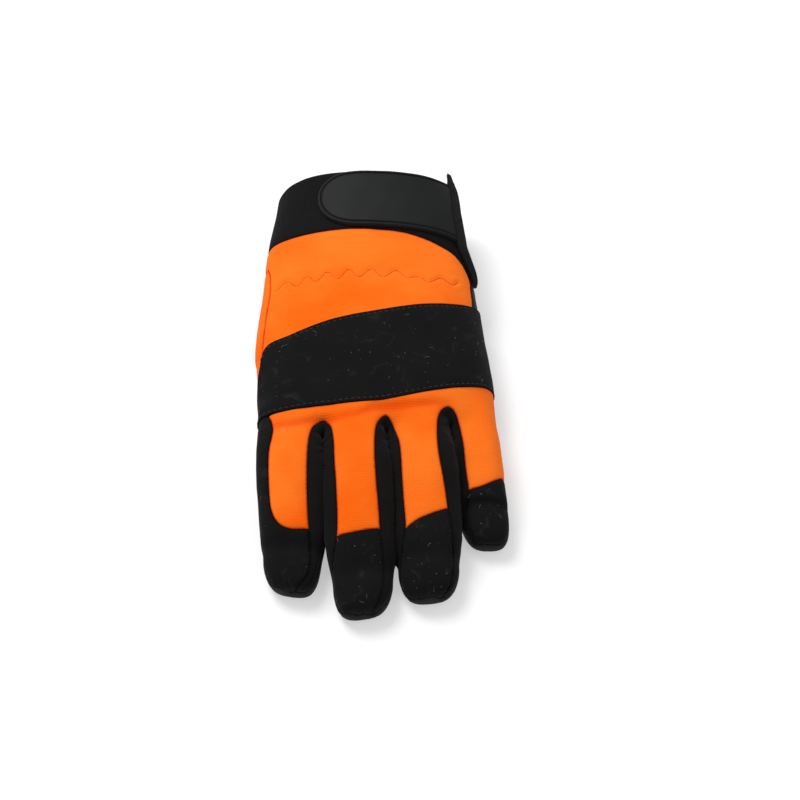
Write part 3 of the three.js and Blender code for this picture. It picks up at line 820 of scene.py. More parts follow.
# The back: one piece of bright orange knitted fabric with the four finger strips, and the thumb's gusset sewn
# on beside it. An elastic is sewn across the inside with a zigzag, seen from outside as a fine wavy line.
def orange_fabric():
    recipe = Recipe("orange_fabric")
    ribs = recipe.wave("Y", 300.0, 1.5)
    threads = recipe.wave("X", 480.0, 0.8)
    height = recipe.maths("ADD", ribs, recipe.maths("MULTIPLY", threads, 0.5))
    height = recipe.maths("ADD", height, recipe.noise(1800.0, 3.0))
    courses = recipe.noise(1.0, 3.0, recipe.stretched((60, 620, 60)))
    height = recipe.maths("ADD", height, recipe.maths("MULTIPLY", courses, 1.5))
    recipe.bump(height, 0.00014, 0.42)
    tone = recipe.spread(recipe.noise(22.0, 3.0), 0.36, 0.64)
    colour = recipe.mix(tone, (0.87, 0.118, 0.002), (0.92, 0.178, 0.014))
    colour = recipe.mix(recipe.maths("MULTIPLY", courses, 0.22), colour, (0.8, 0.085, 0.004))
    # Painted shade in the crease: darker, redder orange where the crease share is high.
    colour = recipe.mix(recipe.maths("MULTIPLY", recipe.attribute("painted_crease_shade"), 0.6), colour, (0.72, 0.045, 0.002))
    # Painted shade: the orange turns darker and redder towards its seams, where the edge rolls in.
    colour = recipe.mix(recipe.painted_seam_shade(1.2), colour, (0.62, 0.05, 0.002))
    return recipe.shade(colour, 0.85, Specular_IOR_Level=0.06, Sheen_Weight=0.05, Sheen_Roughness=0.6,
                        Sheen_Tint=(1.0, 0.45, 0.2, 1))


ZIGZAG = [
    (-54.9, 80.7), (-49.4, 84.3), (-44.2, 80.0), (-38.8, 85.3), (-34.1, 81.0), (-28.2, 86.3),
    (-22.7, 81.7), (-17.3, 87.2), (-11.7, 82.4), (-5.3, 87.4), (0.7, 82.5), (7.2, 87.0), (13.1, 83.2),
    (19.1, 84.2), (24.6, 81.7), (30.6, 85.8), (36.7, 83.7), (39.8, 86.7),
]
zigzag = curve_through(ZIGZAG, 10)
zigzag_tree = tree_of([(x, y, 0) for x, y in zigzag])

# The knuckle patch's edges in plan, which the cloth under it lies flat between.
PATCH_BACK = [
    (-61.4, 43.0), (-58.4, 44.9), (-54.0, 46.4), (-47.0, 47.8), (-36.4, 51.4), (-25.6, 55.0), (-13.9, 58.0),
    (-3.1, 60.2), (7.7, 62.6), (20.5, 65.8), (32.4, 68.8), (43.5, 73.0), (52, 77.7), (66, 84),
]
PATCH_FRONT = [
    (70, 33), (60, 28.2), (49.5, 22.6), (36.6, 17.4), (25.0, 13.7), (15.4, 11.1), (1.0, 8.1), (-10.4, 6.9),
    (-21.8, 6.4), (-31.5, 5.9), (-38.4, 4.7), (-46.6, 2.6), (-54.5, 1.2), (-60.0, 1.2), (-61.5, 2.0),
]


def under_patch(places):
    outline = np.vstack([curve_through(PATCH_BACK), curve_through(PATCH_FRONT), [(-75, 2), (-75, 43)]])
    inside = np.clip(-outline_distance(places, outline), 0, 6)
    return 0.9 * ramp(inside, 0.8, 3.5) * ramp(places[:, 2], 13, 17)


def drawn_in(places, *_):
    """The dimple along the zigzag, with the cloth a little proud beside it."""
    lift = np.zeros(len(places))
    near = (places[:, 2] > 22) & (places[:, 1] > 72) & (places[:, 1] < 98)
    off = np.array([zigzag_tree.find((x, y, 0))[2] for x, y in places[near, :2]])
    lift[near] = 0.22 * np.exp(-((off - 2.4) / 1.4) ** 2) - 0.42 * np.exp(-(off / 1.0) ** 2)
    above = places[:, 1] - 84 - 0.05 * places[:, 0]
    lift += 0.35 * np.exp(-((above - 7) / 3.5) ** 2) * ramp(places[:, 2], 30, 40)
    return lift - under_patch(places)


orange = orange_fabric()
back = finish_panel(panel_mesh("back", "back_panel"), roll=0.6, roll_width=2.6, puff=0.3, relief=drawn_in)
place(back, orange, "orange_fabric", "back_panel")
gusset = finish_panel(panel_mesh("thumb_gusset", "thumb_gusset"), roll=0.6,
                      relief=lambda places, *_: -under_patch(places))
place(gusset, orange, "orange_fabric")


# The thumb: it lies folded under the palm, its outer half of the orange fabric and its inner half of the
# black leather, with a seam along its middle. Each row: place along Y, left, right, top, bottom.
THUMB = [
    (80, -49.0, -31.4, 17, 1.5), (62.8, -53.5, -25.6, 18.5, 1.0), (52, -57.0, -25.4, 18.6, 0.2),
    (44.1, -61.2, -25.2, 18.7, -0.6), (36, -63.2, -25.4, 18.2, -0.9), (26.8, -63.4, -26.0, 17.0, -0.9),
    (5.7, -61.1, -27.5, 16.7, -0.9), (-3.0, -60.3, -28.5, 16.3, -0.8), (-10, -58.9, -30.0, 15.0, 0.0),
    (-15.5, -55.0, -33.5, 12.5, 1.5), (-18.3, -50.0, -38.5, 9.5, 4.0),
]
THUMB_SEAM = -46.4
THUMB_ROOT = 56


def thumb_half(name, keep_left):
    rings = []
    for y, left, right, top, bottom in through_rows(THUMB):
        edge = (top + bottom) / 2
        rings.append(section(y, left, right, top, bottom, edge, edge * 0.9, 2.3, 2.6, sides=56))
    piece = mesh_from(name, [tube(rings)])
    fuse(piece, 1.2)
    places = relaxed(from_frame(points_of(piece.data)), edges_of(piece.data), 0.5, 4)
    places[:, 2] = np.maximum(places[:, 2], 0.0)
    set_points(piece.data, to_frame(places))
    bm = bmesh.new()
    bm.from_mesh(piece.data)
    cut_away(bm, (THUMB_SEAM, 0, 0), (1 if keep_left else -1, 0, 0))
    cut_away(bm, (0, THUMB_ROOT, 0), (0, 1, 0))
    bm.to_mesh(piece.data)
    bm.free()
    return finish_panel(piece)


place(thumb_half("thumb_outer", True), orange, "orange_fabric", "thumb_back")
place(thumb_half("thumb_inner", False), leather, "black_leather", "thumb_front")


# The fingertips: caps of black synthetic suede, sewn on beyond the orange strips, with faint brushed
# marks. The index finger's cap runs on up its outer side to the knuckles.
def black_suede():
    recipe = Recipe("black_suede")
    recipe.bump(recipe.maths("ADD", recipe.noise(2200.0, 4.0), recipe.noise(350.0, 3.0)), 0.0002, 0.8)
    brushed = recipe.spread(recipe.noise(115.0, 6.0, Distortion=1.2), 0.58, 0.78)
    colour = recipe.mix(recipe.noise(60.0, 5.0), (0.0045, 0.0045, 0.0048), (0.009, 0.009, 0.0094))
    colour = recipe.mix(brushed, colour, (0.016, 0.016, 0.0168))
    # Painted shade: the suede darkens towards its seams, where the edge rolls in.
    colour = recipe.mix(recipe.painted_seam_shade(1.2), colour, (0.002, 0.002, 0.002))
    return recipe.shade(colour, 0.95, Specular_IOR_Level=0.06, Sheen_Weight=0.03, Sheen_Roughness=0.4)


suede = black_suede()
tips = []
for name in CAPS:
    tip = finish_panel(panel_mesh(name + "_cap", name + "_tip"), roll=0.75, roll_width=2.2,
                       relief=lambda *cloth: gathers(*cloth) - under_patch(cloth[0]))
    place(tip, suede, "black_suede", name + "_tip")
    tips.append(tip)


# The knuckle patch: a band of the same suede, laid over the back and topstitched along both its long edges.
# Its outer end turns down over the little finger's side, and its thumb end has one rounded corner.
PATCH_THICKNESS = 0.85
PATCH_CORNER = 5.0
PATCH_LIFT = 0.2
PATCH_LENGTH = 150.0
PATCH_WIDTH = 46.0
STITCHES_INSIDE = 2.0
# How high the patch's end by the thumb stands, for places along Y.
PATCH_END = [(0, 14), (10, 21.0), (21, 29.3), (34, 33.9), (45, 35.4), (95, 36)]


def skin_tree(piece):
    mesh = piece.data
    return BVHTree.FromPolygons([v.co for v in mesh.vertices], [tuple(p.vertices) for p in mesh.polygons])


class Unrolled:
    """The hand's skin laid out flat: arc length from the glove's middle line against the place along Y."""

    row_step = 1.5

    def __init__(self, tree):
        self.ys = np.arange(-4.0, RIM - 0.5, self.row_step)
        self.arcs = np.arange(-96.0, 100.0, 1.0)
        turns = np.radians(np.arange(-125, 133, 1.0))
        rows = []
        for y in self.ys:
            middle = np.interp(y, [0, RIM], [-3.0, -8.0])
            start = Vector(to_frame([(middle, y, 22.0)])[0])
            hits = [tree.ray_cast(start, Vector((math.sin(t), 0, math.cos(t))))[0] for t in turns]
            ring = from_frame(hits)
            arc = np.concatenate([[0], np.cumsum(np.linalg.norm(np.diff(ring, axis=0), axis=1))])
            top = slice(60, 200)
            arc -= np.interp(0.0, ring[top, 0], arc[top])
            rows.append([np.interp(self.arcs, arc, ring[:, k]) for k in (0, 2)])
        self.grid = np.array(rows).transpose(0, 2, 1)
        for _ in range(3):
            self.grid[1:-1] = (self.grid[:-2] + 2 * self.grid[1:-1] + self.grid[2:]) / 4
            self.grid[:, 1:-1] = (self.grid[:, :-2] + 2 * self.grid[:, 1:-1] + self.grid[:, 2:]) / 4
        along = np.gradient(self.grid, self.ys, axis=0)
        across = np.gradient(self.grid, self.arcs, axis=1)
        normal = np.stack([-across[..., 1], across[..., 1] * along[..., 0] - across[..., 0] * along[..., 1],
                           across[..., 0]], axis=-1)
        self.normal = normal / np.maximum(np.linalg.norm(normal, axis=-1, keepdims=True), 1e-9)

    def look_up(self, table, arc, y):
        """A table's value at places between its rows and columns."""
        column = np.clip((np.asarray(arc, float) - self.arcs[0]), 0, len(self.arcs) - 1.001)
        row = np.clip((np.asarray(y, float) - self.ys[0]) / self.row_step, 0, len(self.ys) - 1.001)
        i, j = row.astype(int), column.astype(int)
        u, v = (row - i)[..., None], (column - j)[..., None]
        return ((table[i, j] * (1 - v) + table[i, j + 1] * v) * (1 - u)
                + (table[i + 1, j] * (1 - v) + table[i + 1, j + 1] * v) * u)

    def points(self, arc, y, height=0.0):
        flat = self.look_up(self.grid, arc, y)
        normal = self.look_up(self.normal, arc, y)
        spot = np.stack([flat[..., 0], np.broadcast_to(y, flat[..., 0].shape), flat[..., 1]], axis=-1)
        return spot + normal * np.asarray(height)[..., None]

    def arc_of(self, x, y):
        """The arc length of a place in plan on the back of the hand."""
        out = []
        for px, py in np.broadcast(x, y):
            row = self.look_up(self.grid, self.arcs, np.full(len(self.arcs), py))
            out.append(np.interp(px, row[20:-40, 0], self.arcs[20:-40]))
        return np.array(out)

    def arc_at_height(self, z, y, side):
        row = self.look_up(self.grid, self.arcs, np.full(len(self.arcs), float(y)))
        half = self.arcs * side > 20
        order = np.argsort(row[half, 1])
        return np.interp(z, row[half, 1][order], self.arcs[half][order])


unrolled = Unrolled(skin_tree(skin))


def closed_sheet(name, top, bottom, rim, faces, seam):
    """Two layers of points with the same faces, closed along a rim, as one object."""
    count = len(top)
    all_faces = list(faces) + [tuple(i + count for i in f[::-1]) for f in faces]
    for a, b in zip(rim, np.roll(rim, -1)):
        all_faces.append((int(a), int(a) + count, int(b) + count, int(b)))
    piece = mesh_from(name, [(np.vstack([top, bottom]), all_faces)])
    tag_points(piece.data, "seam", np.concatenate([seam, seam]))
    turn_outwards(piece, 2e-6)
    return piece


def turn_outwards(piece, merge=0.0):
    """Turns all faces outwards, after running points together that lie within a distance."""
    bm = bmesh.new()
    bm.from_mesh(piece.data)
    if merge:
        bmesh.ops.remove_doubles(bm, verts=bm.verts, dist=merge)
    bmesh.ops.recalc_face_normals(bm, faces=bm.faces)
    bm.to_mesh(piece.data)
    bm.free()
    piece.data.shade_smooth()


EDGE_STEPS = [0.0, 0.08, 0.2, 0.36, 0.55, 0.8, 1.1, 1.4, 1.65, 1.9, 2.15, 2.4, 2.7, 3.2, 4.0]


def rounded_edge(distance, lift, corner):
    return lift * np.sqrt(1 - (1 - np.clip(distance / corner, 0, 1)) ** 2)


def edge_spaced(length, step):
    """Places along a length, close together near its two ends."""
    near = np.array(EDGE_STEPS)
    middle = np.linspace(near[-1], length - near[-1], max(2, int((length - 2 * near[-1]) / step)))
    return np.concatenate([near, middle[1:-1], length - near[::-1]])


def knuckle_patch():
    back_line = curve_through(PATCH_BACK)
    front_line = curve_through(PATCH_FRONT)
    lines = []
    for line in (back_line, front_line):
        arc = unrolled.arc_of(line[:, 0], line[:, 1])
        inside = (line[:, 0] > -61) & (line[:, 0] < 50)
        order = np.argsort(arc[inside])
        lines.append((arc[inside][order], line[inside, 1][order]))

    left_end = unrolled.arc_at_height(PATCH_END[-2][1], PATCH_END[-2][0], -1)

    def edge_y(which, arc):
        """Where an edge of the patch lies: the back one, with its corner, or the front one."""
        arcs, ys = lines[which]
        past = np.maximum(0, arc - arcs[-1]) * (0.32 if which == 0 else 0.42)
        corner = np.clip(1 - (arc - left_end) / PATCH_CORNER, 0, 1) if which == 0 else 0 * arc
        drop = PATCH_CORNER * (1 - np.sqrt(1 - corner ** 2))
        return np.interp(arc, arcs, ys) + past * np.exp(-np.maximum(0, arc - arcs[-1]) / 30) - drop

    columns = edge_spaced(PATCH_LENGTH, 1.3) / PATCH_LENGTH
    rows = edge_spaced(PATCH_WIDTH, 1.3)
    keys = np.arange(-2, 95, 2)
    end_ys, end_heights = np.array(PATCH_END).T
    lefts = np.array([unrolled.arc_at_height(np.interp(y, end_ys, end_heights), y, -1) for y in keys])
    rights = np.array([unrolled.arc_at_height(11.0, y, 1) for y in keys])
    share = rows / PATCH_WIDTH
    grid_y = np.tile(np.linspace(4, 55, len(rows))[:, None], (1, len(columns)))
    for _ in range(8):
        left, right = np.interp(grid_y, keys, lefts), np.interp(grid_y, keys, rights)
        arc = left + (right - left) * columns[None, :]
        front, back = edge_y(1, arc), edge_y(0, arc)
        grid_y = front + (back - front) * share[:, None]
    along_edge = np.minimum(share[:, None] * (back - front), (1 - share[:, None]) * (back - front))
    end_edge = np.minimum(columns[None, :] * (right - left), (1 - columns[None, :]) * (right - left))
    distance = np.minimum(along_edge, end_edge)
    height = PATCH_LIFT + rounded_edge(distance, PATCH_THICKNESS, 0.7)
    height -= 0.24 * np.exp(-((along_edge - STITCHES_INSIDE) / 0.4) ** 2)
    height += 0.12 * np.sin(arc * 2 * math.pi / 3.1) * np.exp(-((along_edge - 1.1) / 0.8) ** 2)
    top = unrolled.points(arc, grid_y, height).reshape(-1, 3)
    bottom = unrolled.points(arc, grid_y, -0.5 + 0 * height).reshape(-1, 3)
    wide = len(columns)
    faces = [(r * wide + c, r * wide + c + 1, (r + 1) * wide + c + 1, (r + 1) * wide + c)
             for r in range(len(rows) - 1) for c in range(wide - 1)]
    last = (len(rows) - 1) * wide
    rim = [*range(wide), *range(2 * wide - 1, last + wide, wide), *range(last + wide - 2, last - 1, -1),
           *range(last - wide, 0, -wide)]
    return closed_sheet("knuckle_patch", top, bottom, rim, faces, distance.ravel()), edge_y


patch, patch_edge_y = knuckle_patch()
place(patch, suede, "black_suede", "knuckle_band")


# The stitching and the fluff: thread pulled down into the cloth, grey along the patch, black round the
# caps and orange in the zigzag, and short pale fibres and flecks that cling to the suede's nap.
def new_tree(name, numbers, kinds):
    """A Geometry Nodes tree with its named inputs, and the two ends of it."""
    tree = bpy.data.node_groups.new(name, "GeometryNodeTree")
    tree.interface.new_socket("Geometry", in_out="INPUT", socket_type="NodeSocketGeometry")
    for label, value in numbers.items():
        tree.interface.new_socket(label, in_out="INPUT", socket_type="NodeSocketFloat").default_value = value
    for label, kind in kinds.items():
        tree.interface.new_socket(label, in_out="INPUT", socket_type=kind)
    tree.interface.new_socket("Geometry", in_out="OUTPUT", socket_type="NodeSocketGeometry")
    return tree, tree.nodes.new("NodeGroupInput"), tree.nodes.new("NodeGroupOutput")


def end_tree(tree, start, end, instances):
    plain = add_node(tree, "GeometryNodeRealizeInstances", Geometry=instances)
    coloured = add_node(tree, "GeometryNodeSetMaterial", Geometry=plain.outputs[0],
                        Material=start.outputs["Thread"])
    tree.links.new(coloured.outputs[0], end.inputs[0])
    return tree


def random_value(tree, low, high, seed):
    values = {"2": low, "3": high, "Seed": seed}
    return add_node(tree, "FunctionNodeRandomValue", {"data_type": "FLOAT"}, **values).outputs[1]


def stitch_tree():
    """A short fat stitch laid at every step along a drawn line, flat on the cloth."""
    sizes = {"Step": 0.003, "Stitch length": 0.0021, "Thread width": 0.0005}
    tree, start, end = new_tree("stitches", sizes, {"Thread": "NodeSocketMaterial"})
    curve = add_node(tree, "GeometryNodeMeshToCurve", Mesh=start.outputs["Geometry"])
    steps = add_node(tree, "GeometryNodeResampleCurve", {"mode": "LENGTH"}, Curve=curve.outputs[0],
                     Length=start.outputs["Step"])
    up = add_node(tree, "GeometryNodeInputNamedAttribute", {"data_type": "FLOAT_VECTOR"}, Name="up")
    ahead = add_node(tree, "GeometryNodeInputTangent")
    turned = add_node(tree, "FunctionNodeAxesToRotation", {"primary_axis": "Z", "secondary_axis": "X"},
                      **{"0": up.outputs["Attribute"], "1": ahead.outputs[0]})
    bead = add_node(tree, "GeometryNodeMeshUVSphere", Segments=8, Rings=6, Radius=0.5)
    size = add_node(tree, "ShaderNodeCombineXYZ", X=start.outputs["Stitch length"],
                    Y=start.outputs["Thread width"], Z=start.outputs["Thread width"])
    stitch = add_node(tree, "GeometryNodeTransform", Geometry=bead.outputs["Mesh"], Scale=size.outputs[0])
    laid = add_node(tree, "GeometryNodeInstanceOnPoints", Points=steps.outputs[0], Instance=stitch.outputs[0],
                    Rotation=turned.outputs[0], Scale=random_value(tree, 0.8, 1.1, 4))
    return end_tree(tree, start, end, laid.outputs[0])


def lint_tree():
    """Short curled fibres caught in the nap, lying on the faces that look upwards."""
    sizes = {"Fibres per square metre": 9000.0, "Fibre length": 0.0022, "Thread width": 0.00012}
    tree, start, end = new_tree("lint", sizes, {"Thread": "NodeSocketMaterial", "Seed": "NodeSocketInt"})
    normal = add_node(tree, "GeometryNodeInputNormal").outputs[0]
    facing = add_node(tree, "ShaderNodeSeparateXYZ", Vector=normal)
    upwards = add_node(tree, "FunctionNodeCompare", {"operation": "GREATER_THAN"},
                       **{"0": facing.outputs["Z"], "1": 0.15})
    caught = add_node(tree, "GeometryNodeDistributePointsOnFaces", Mesh=start.outputs["Geometry"],
                      Density=start.outputs["Fibres per square metre"], Seed=start.outputs["Seed"],
                      Selection=upwards.outputs[0])
    curl = add_node(tree, "GeometryNodeCurveQuadraticBezier", Resolution=5, Start=(-0.5, 0, 0),
                    Middle=(0.1, 0.28, 0.03), End=(0.5, -0.1, 0))
    length = start.outputs["Fibre length"]
    longer = add_node(tree, "ShaderNodeCombineXYZ", X=length, Y=length, Z=length)
    bent = add_node(tree, "GeometryNodeTransform", Geometry=curl.outputs[0], Scale=longer.outputs[0])
    round_thread = add_node(tree, "GeometryNodeCurvePrimitiveCircle", Resolution=4,
                            Radius=start.outputs["Thread width"])
    fibre = add_node(tree, "GeometryNodeCurveToMesh", Curve=bent.outputs[0],
                     Profile_Curve=round_thread.outputs[0], Fill_Caps=True)
    spin = add_node(tree, "FunctionNodeAxisAngleToRotation", Axis=(0, 0, 1),
                    Angle=random_value(tree, 0.0, 6.28, 2))
    lying = add_node(tree, "FunctionNodeRotateRotation", {"rotation_space": "LOCAL"},
                     Rotation=caught.outputs["Rotation"], Rotate_By=spin.outputs[0])
    laid = add_node(tree, "GeometryNodeInstanceOnPoints", Points=caught.outputs["Points"],
                    Instance=fibre.outputs[0], Rotation=lying.outputs[0],
                    Scale=random_value(tree, 0.25, 1.3, 7))
    return end_tree(tree, start, end, laid.outputs[0])


def grown(name, mesh, tree, values, material, slot):
    """A mesh put through a tree, kept as a plain piece."""
    piece = linked(name, mesh)
    modifier = piece.modifiers.new("grown", "NODES")
    modifier.node_group = tree
    values = {**values, "Thread": material}
    for item in tree.interface.items_tree:
        if item.in_out == "INPUT" and item.name in values:
            modifier[item.identifier] = values[item.name]
    settled(piece)
    piece.data.shade_smooth()
    place(piece, material, slot)


def drawn_lines(name, *lines):
    """Lines of points in millimetres with the cloth's normals, as one mesh of edges."""
    mesh = bpy.data.meshes.new(name)
    links, first = [], 0
    for points, _ in lines:
        links += [(first + k, first + k + 1) for k in range(len(points) - 1)]
        first += len(points)
    mesh.from_pydata(to_frame(np.vstack([points for points, _ in lines])).tolist(), links, [])
    up = mesh.attributes.new("up", "FLOAT_VECTOR", "POINT")
    up.data.foreach_set("vector", np.vstack([ups for _, ups in lines]).ravel())
    return mesh


def from_above(tree, plan, lift):
    """Points of a plan line dropped onto a piece, raised a little, with the piece's normals."""
    points, ups = [], []
    for x, y in plan:
        spot, normal, _, _ = tree.ray_cast(Vector(to_frame([(x, y, 90.0)])[0]), Vector((0, 0, -1)))
        if spot is not None:
            points.append(from_frame(spot) + np.array(normal) * lift)
            ups.append(normal)
    return np.array(points), np.array(ups)


def cotton(name, colour):
    recipe = Recipe(name)
    twist = recipe.noise(3500.0, 1.0)
    recipe.bump(twist, 0.00006, 0.6)
    paler = tuple(min(1.0, part * 1.7) for part in colour)
    return recipe.shade(recipe.mix(twist, colour, paler), 0.75, Specular_IOR_Level=0.2)


stitches = stitch_tree()
lint = lint_tree()
grey_thread = cotton("grey_thread", (0.022, 0.022, 0.023))
black_thread = cotton("black_thread", (0.0012, 0.0012, 0.0012))
orange_thread = cotton("orange_thread", (0.42, 0.035, 0.002))
pale_fluff = cotton("pale_fluff", (0.12, 0.12, 0.124))


def topstitch(which, inside):
    arcs = np.arange(-62.0, 66.0, 1.0)
    ys = patch_edge_y(which, arcs) + inside
    points = unrolled.points(arcs, ys, np.full(len(arcs), PATCH_THICKNESS))
    return points, unrolled.look_up(unrolled.normal, arcs, ys)


patch_lines = drawn_lines("patch_topstitch", topstitch(0, -STITCHES_INSIDE), topstitch(1, STITCHES_INSIDE))
grown("patch_topstitch", patch_lines, stitches,
      {"Step": 0.003, "Stitch length": 0.0022, "Thread width": 0.00055}, grey_thread, "black_suede")
grown("elastic_zigzag", drawn_lines("elastic_zigzag", from_above(skin_tree(back), zigzag, 0.02)), stitches,
      {"Step": 0.0014, "Stitch length": 0.0015, "Thread width": 0.0004}, orange_thread, "orange_fabric")

# Three caps are topstitched beside their seams with the strips between the fingers, in black thread.
CAP_STITCHES = {
    "index": [(-36.2, -59.0), (-35.6, -64.0), (-35.2, -70.0), (-36.0, -75.5), (-38.2, -79.0)],
    "middle": [(-1.6, -60.5), (-0.6, -66.0), (0.3, -73.0), (0.4, -81.0), (-0.6, -87.0), (-3.2, -91.0)],
    "ring": [(31.6, -49.0), (32.9, -54.0), (33.9, -61.0), (34.2, -69.0), (33.6, -77.0), (31.6, -82.0)],
}
for (name, line), tip in zip(CAP_STITCHES.items(), tips):
    seam_line = drawn_lines(name + "_stitches", from_above(skin_tree(tip), curve_through(line), 0.05))
    grown(name + "_cap_stitches", seam_line, stitches,
          {"Step": 0.0024, "Stitch length": 0.0015, "Thread width": 0.0007}, black_thread, "black_suede")
for k, (name, piece) in enumerate(zip(["patch", "index", "middle", "ring", "little"], [patch, *tips])):
    fibres = {"Fibres per square metre": 6500.0 if k else 3500.0, "Fibre length": 0.0023,
              "Thread width": 0.00006, "Seed": 11 + k}
    flecks = {"Fibres per square metre": 9000.0, "Fibre length": 0.0005,
              "Thread width": 0.00009, "Seed": 31 + k}
    grown(name + "_lint", piece.data.copy(), lint, fibres, pale_fluff, "black_suede")
    grown(name + "_flecks", piece.data.copy(), lint, flecks, pale_fluff, "black_suede")


# The cuff: a band of black neoprene, thicker than the cloth and with a smooth knitted face, sewn to the back
# and the palm round the wrist.
def neoprene():
    recipe = Recipe("neoprene")
    foam = recipe.noise(300.0, 2.0)
    recipe.bump(recipe.maths("ADD", recipe.wave("X", 520.0, 0.5), foam), 0.0001, 0.5)
    colour = recipe.mix(foam, (0.0038, 0.0038, 0.004), (0.006, 0.006, 0.0064))
    # Painted shade: the neoprene darkens towards its seams, where the edge rolls in.
    colour = recipe.mix(recipe.painted_seam_shade(1.2), colour, (0.004, 0.004, 0.004))
    return recipe.shade(colour, 0.85, Specular_IOR_Level=0.08)


cuff = finish_panel(panel_mesh("wrist_cuff", "cuff"), roll=0.7, thickness=2.0)
place(cuff, neoprene(), "black_neoprene", "cuff")


# The closing strap: a tab of dark grey moulded rubber with hooks beneath, and a groove pressed in round
# its edge. One end is sewn in at the bound edge, and the round free end closes the cuff over the back of
# the wrist. Its outline in plan runs from the bound edge round the free end and back.
STRAP_OUTLINE = [
    (28.0, 113.6), (14.8, 113.8), (-1.0, 114.2), (-12.0, 114.4), (-18.5, 115.1), (-23.8, 117.0),
    (-28.1, 120.0), (-31.3, 124.0), (-33.3, 128.6), (-34.0, 133.4), (-33.8, 138.0), (-31.9, 142.4),
    (-28.8, 145.9), (-24.6, 148.6), (-19.0, 150.1), (-12.0, 150.5), (-1.0, 150.5), (15.0, 150.5),
    (28.0, 150.6),
]
# The bound edge's middle line: arc length across the hand, place along Y, width and thickness.
BINDING_LINE = [
    (37.9, 159.7, 0.9, 0.7), (38.1, 159.2, 1.7, 1.4), (38.4, 157.6, 2.3, 2.0), (38.8, 155.0, 2.6, 2.4),
    (39.1, 152.2, 3.8, 3.0), (39.7, 147.6, 5.8, 3.4),
    (40.3, 142.0, 6.2, 3.5), (40.9, 130.0, 6.2, 3.5), (42.9, 118.5, 5.8, 3.4), (44.8, 111.5, 5.2, 3.3),
    (47.4, 107.0, 4.7, 3.2), (50.6, 102.5, 4.2, 3.1), (53.6, 98.5, 4.0, 3.0), (55.2, 95.0, 3.8, 2.6),
    (55.8, 91.8, 2.4, 1.5),
]
STRAP_MIDDLE = 132.8
STRAP_LIFT = 0.25
STRAP_THICKNESS = 2.2
GROOVE_INSIDE = 2.0
GROOVE_DEPTH = 0.75


def strap_rubber():
    recipe = Recipe("strap_rubber")
    recipe.bump(recipe.noise(900.0, 2.0), 0.00005, 0.5)
    colour = recipe.mix(recipe.noise(45.0, 3.0), (0.0085, 0.0089, 0.0094), (0.0115, 0.012, 0.0126))
    off_groove = recipe.maths("ABSOLUTE", recipe.maths("SUBTRACT", recipe.attribute("seam"), GROOVE_INSIDE))
    # Painted shade: the rubber's colour darkens inside the groove round its edge, on top of the groove's real
    # depth.
    painted_groove_shade = recipe.spread(off_groove, 0.2, 0.75, 0.85, 0.0, "SMOOTHSTEP")
    colour = recipe.mix(painted_groove_shade, colour, (0.0025, 0.0025, 0.0027))
    return recipe.shade(colour, 0.58, Specular_IOR_Level=0.11)


def resampled(outline, step):
    """Evenly spaced points along a closed outline."""
    closed = np.vstack([outline, outline[:1]])
    along = np.concatenate([[0], np.cumsum(np.linalg.norm(np.diff(closed, axis=0), axis=1))])
    places = np.linspace(0, along[-1], int(along[-1] / step), endpoint=False)
    return np.stack([np.interp(places, along, closed[:, k]) for k in (0, 1)], axis=1)


def line_distance(places, line):
    """Distance in plan to an open line."""
    best = np.full(len(places), 1e9)
    for a, b in zip(line[:-1], line[1:]):
        along = np.clip((places - a) @ (b - a) / max((b - a) @ (b - a), 1e-9), 0, 1)
        best = np.minimum(best, np.linalg.norm(places - a - along[:, None] * (b - a), axis=1))
    return best


def strap_tab():
    plan = curve_through(STRAP_OUTLINE, 6)
    free = np.stack([unrolled.arc_of(plan[:, 0], plan[:, 1]), plan[:, 1]], axis=1)
    binding_arcs, binding_ys = np.array(BINDING_LINE)[::-1, :2].T
    caught = [(np.interp(y, binding_ys, binding_arcs) - 2.3, y) for y in (150.7, 142, 130, 122, 113.5)]
    outline = resampled(np.vstack([free, caught]), 0.9)
    spine = np.stack([np.clip(outline[:, 0], -17.0, 27.0), np.full(len(outline), STRAP_MIDDLE)], axis=1)
    inward = (spine - outline) / np.linalg.norm(spine - outline, axis=1, keepdims=True)
    rings = [outline + inward * step for step in EDGE_STEPS]
    edge_ring = rings[-1]
    rings += [edge_ring + (spine - edge_ring) * share for share in np.linspace(0, 1, 12)[1:]]
    flat = np.vstack(rings)
    arcs, ys = flat.T
    depth = line_distance(flat, np.vstack([caught[-1:], free, caught[:1]]))
    from_edge = line_distance(flat, np.vstack([outline, outline[:1]]))
    to_binding = np.interp(ys, binding_ys, binding_arcs) - arcs
    groove = GROOVE_DEPTH * np.exp(-((depth - GROOVE_INSIDE) / 0.42) ** 2) * ramp(to_binding, 2.4, 3.2)
    height = STRAP_LIFT + rounded_edge(from_edge, STRAP_THICKNESS, 0.9) - groove + 0.2 * ramp(depth, 2.4, 9.0)
    top = unrolled.points(arcs, ys, height)
    bottom = unrolled.points(arcs, ys, -0.3 + 0 * height)
    count = len(outline)
    return closed_sheet("wrist_tab", top, bottom, list(range(count)), ring_faces(len(rings), count), depth)


place(strap_tab(), strap_rubber(), "strap_rubber", "wrist_strap")


# The bound edge: a doubled black tape with a woven rib, sewn down the little finger's side of the cuff,
# where the strap is caught in the seam. It stands a little past the rim and runs on below the cuff, with
# one row of stitches.
STEP_DOWN = 1.7
TAPE_SIDES = 40


def binding_tape():
    recipe = Recipe("binding_tape")
    recipe.bump(recipe.wave("Y", 700.0, 0.4), 0.00015, 0.6)
    colour = recipe.mix(recipe.noise(120.0, 2.0), (0.005, 0.005, 0.0053), (0.011, 0.0105, 0.0105))
    return recipe.shade(colour, 0.8, Specular_IOR_Level=0.12)


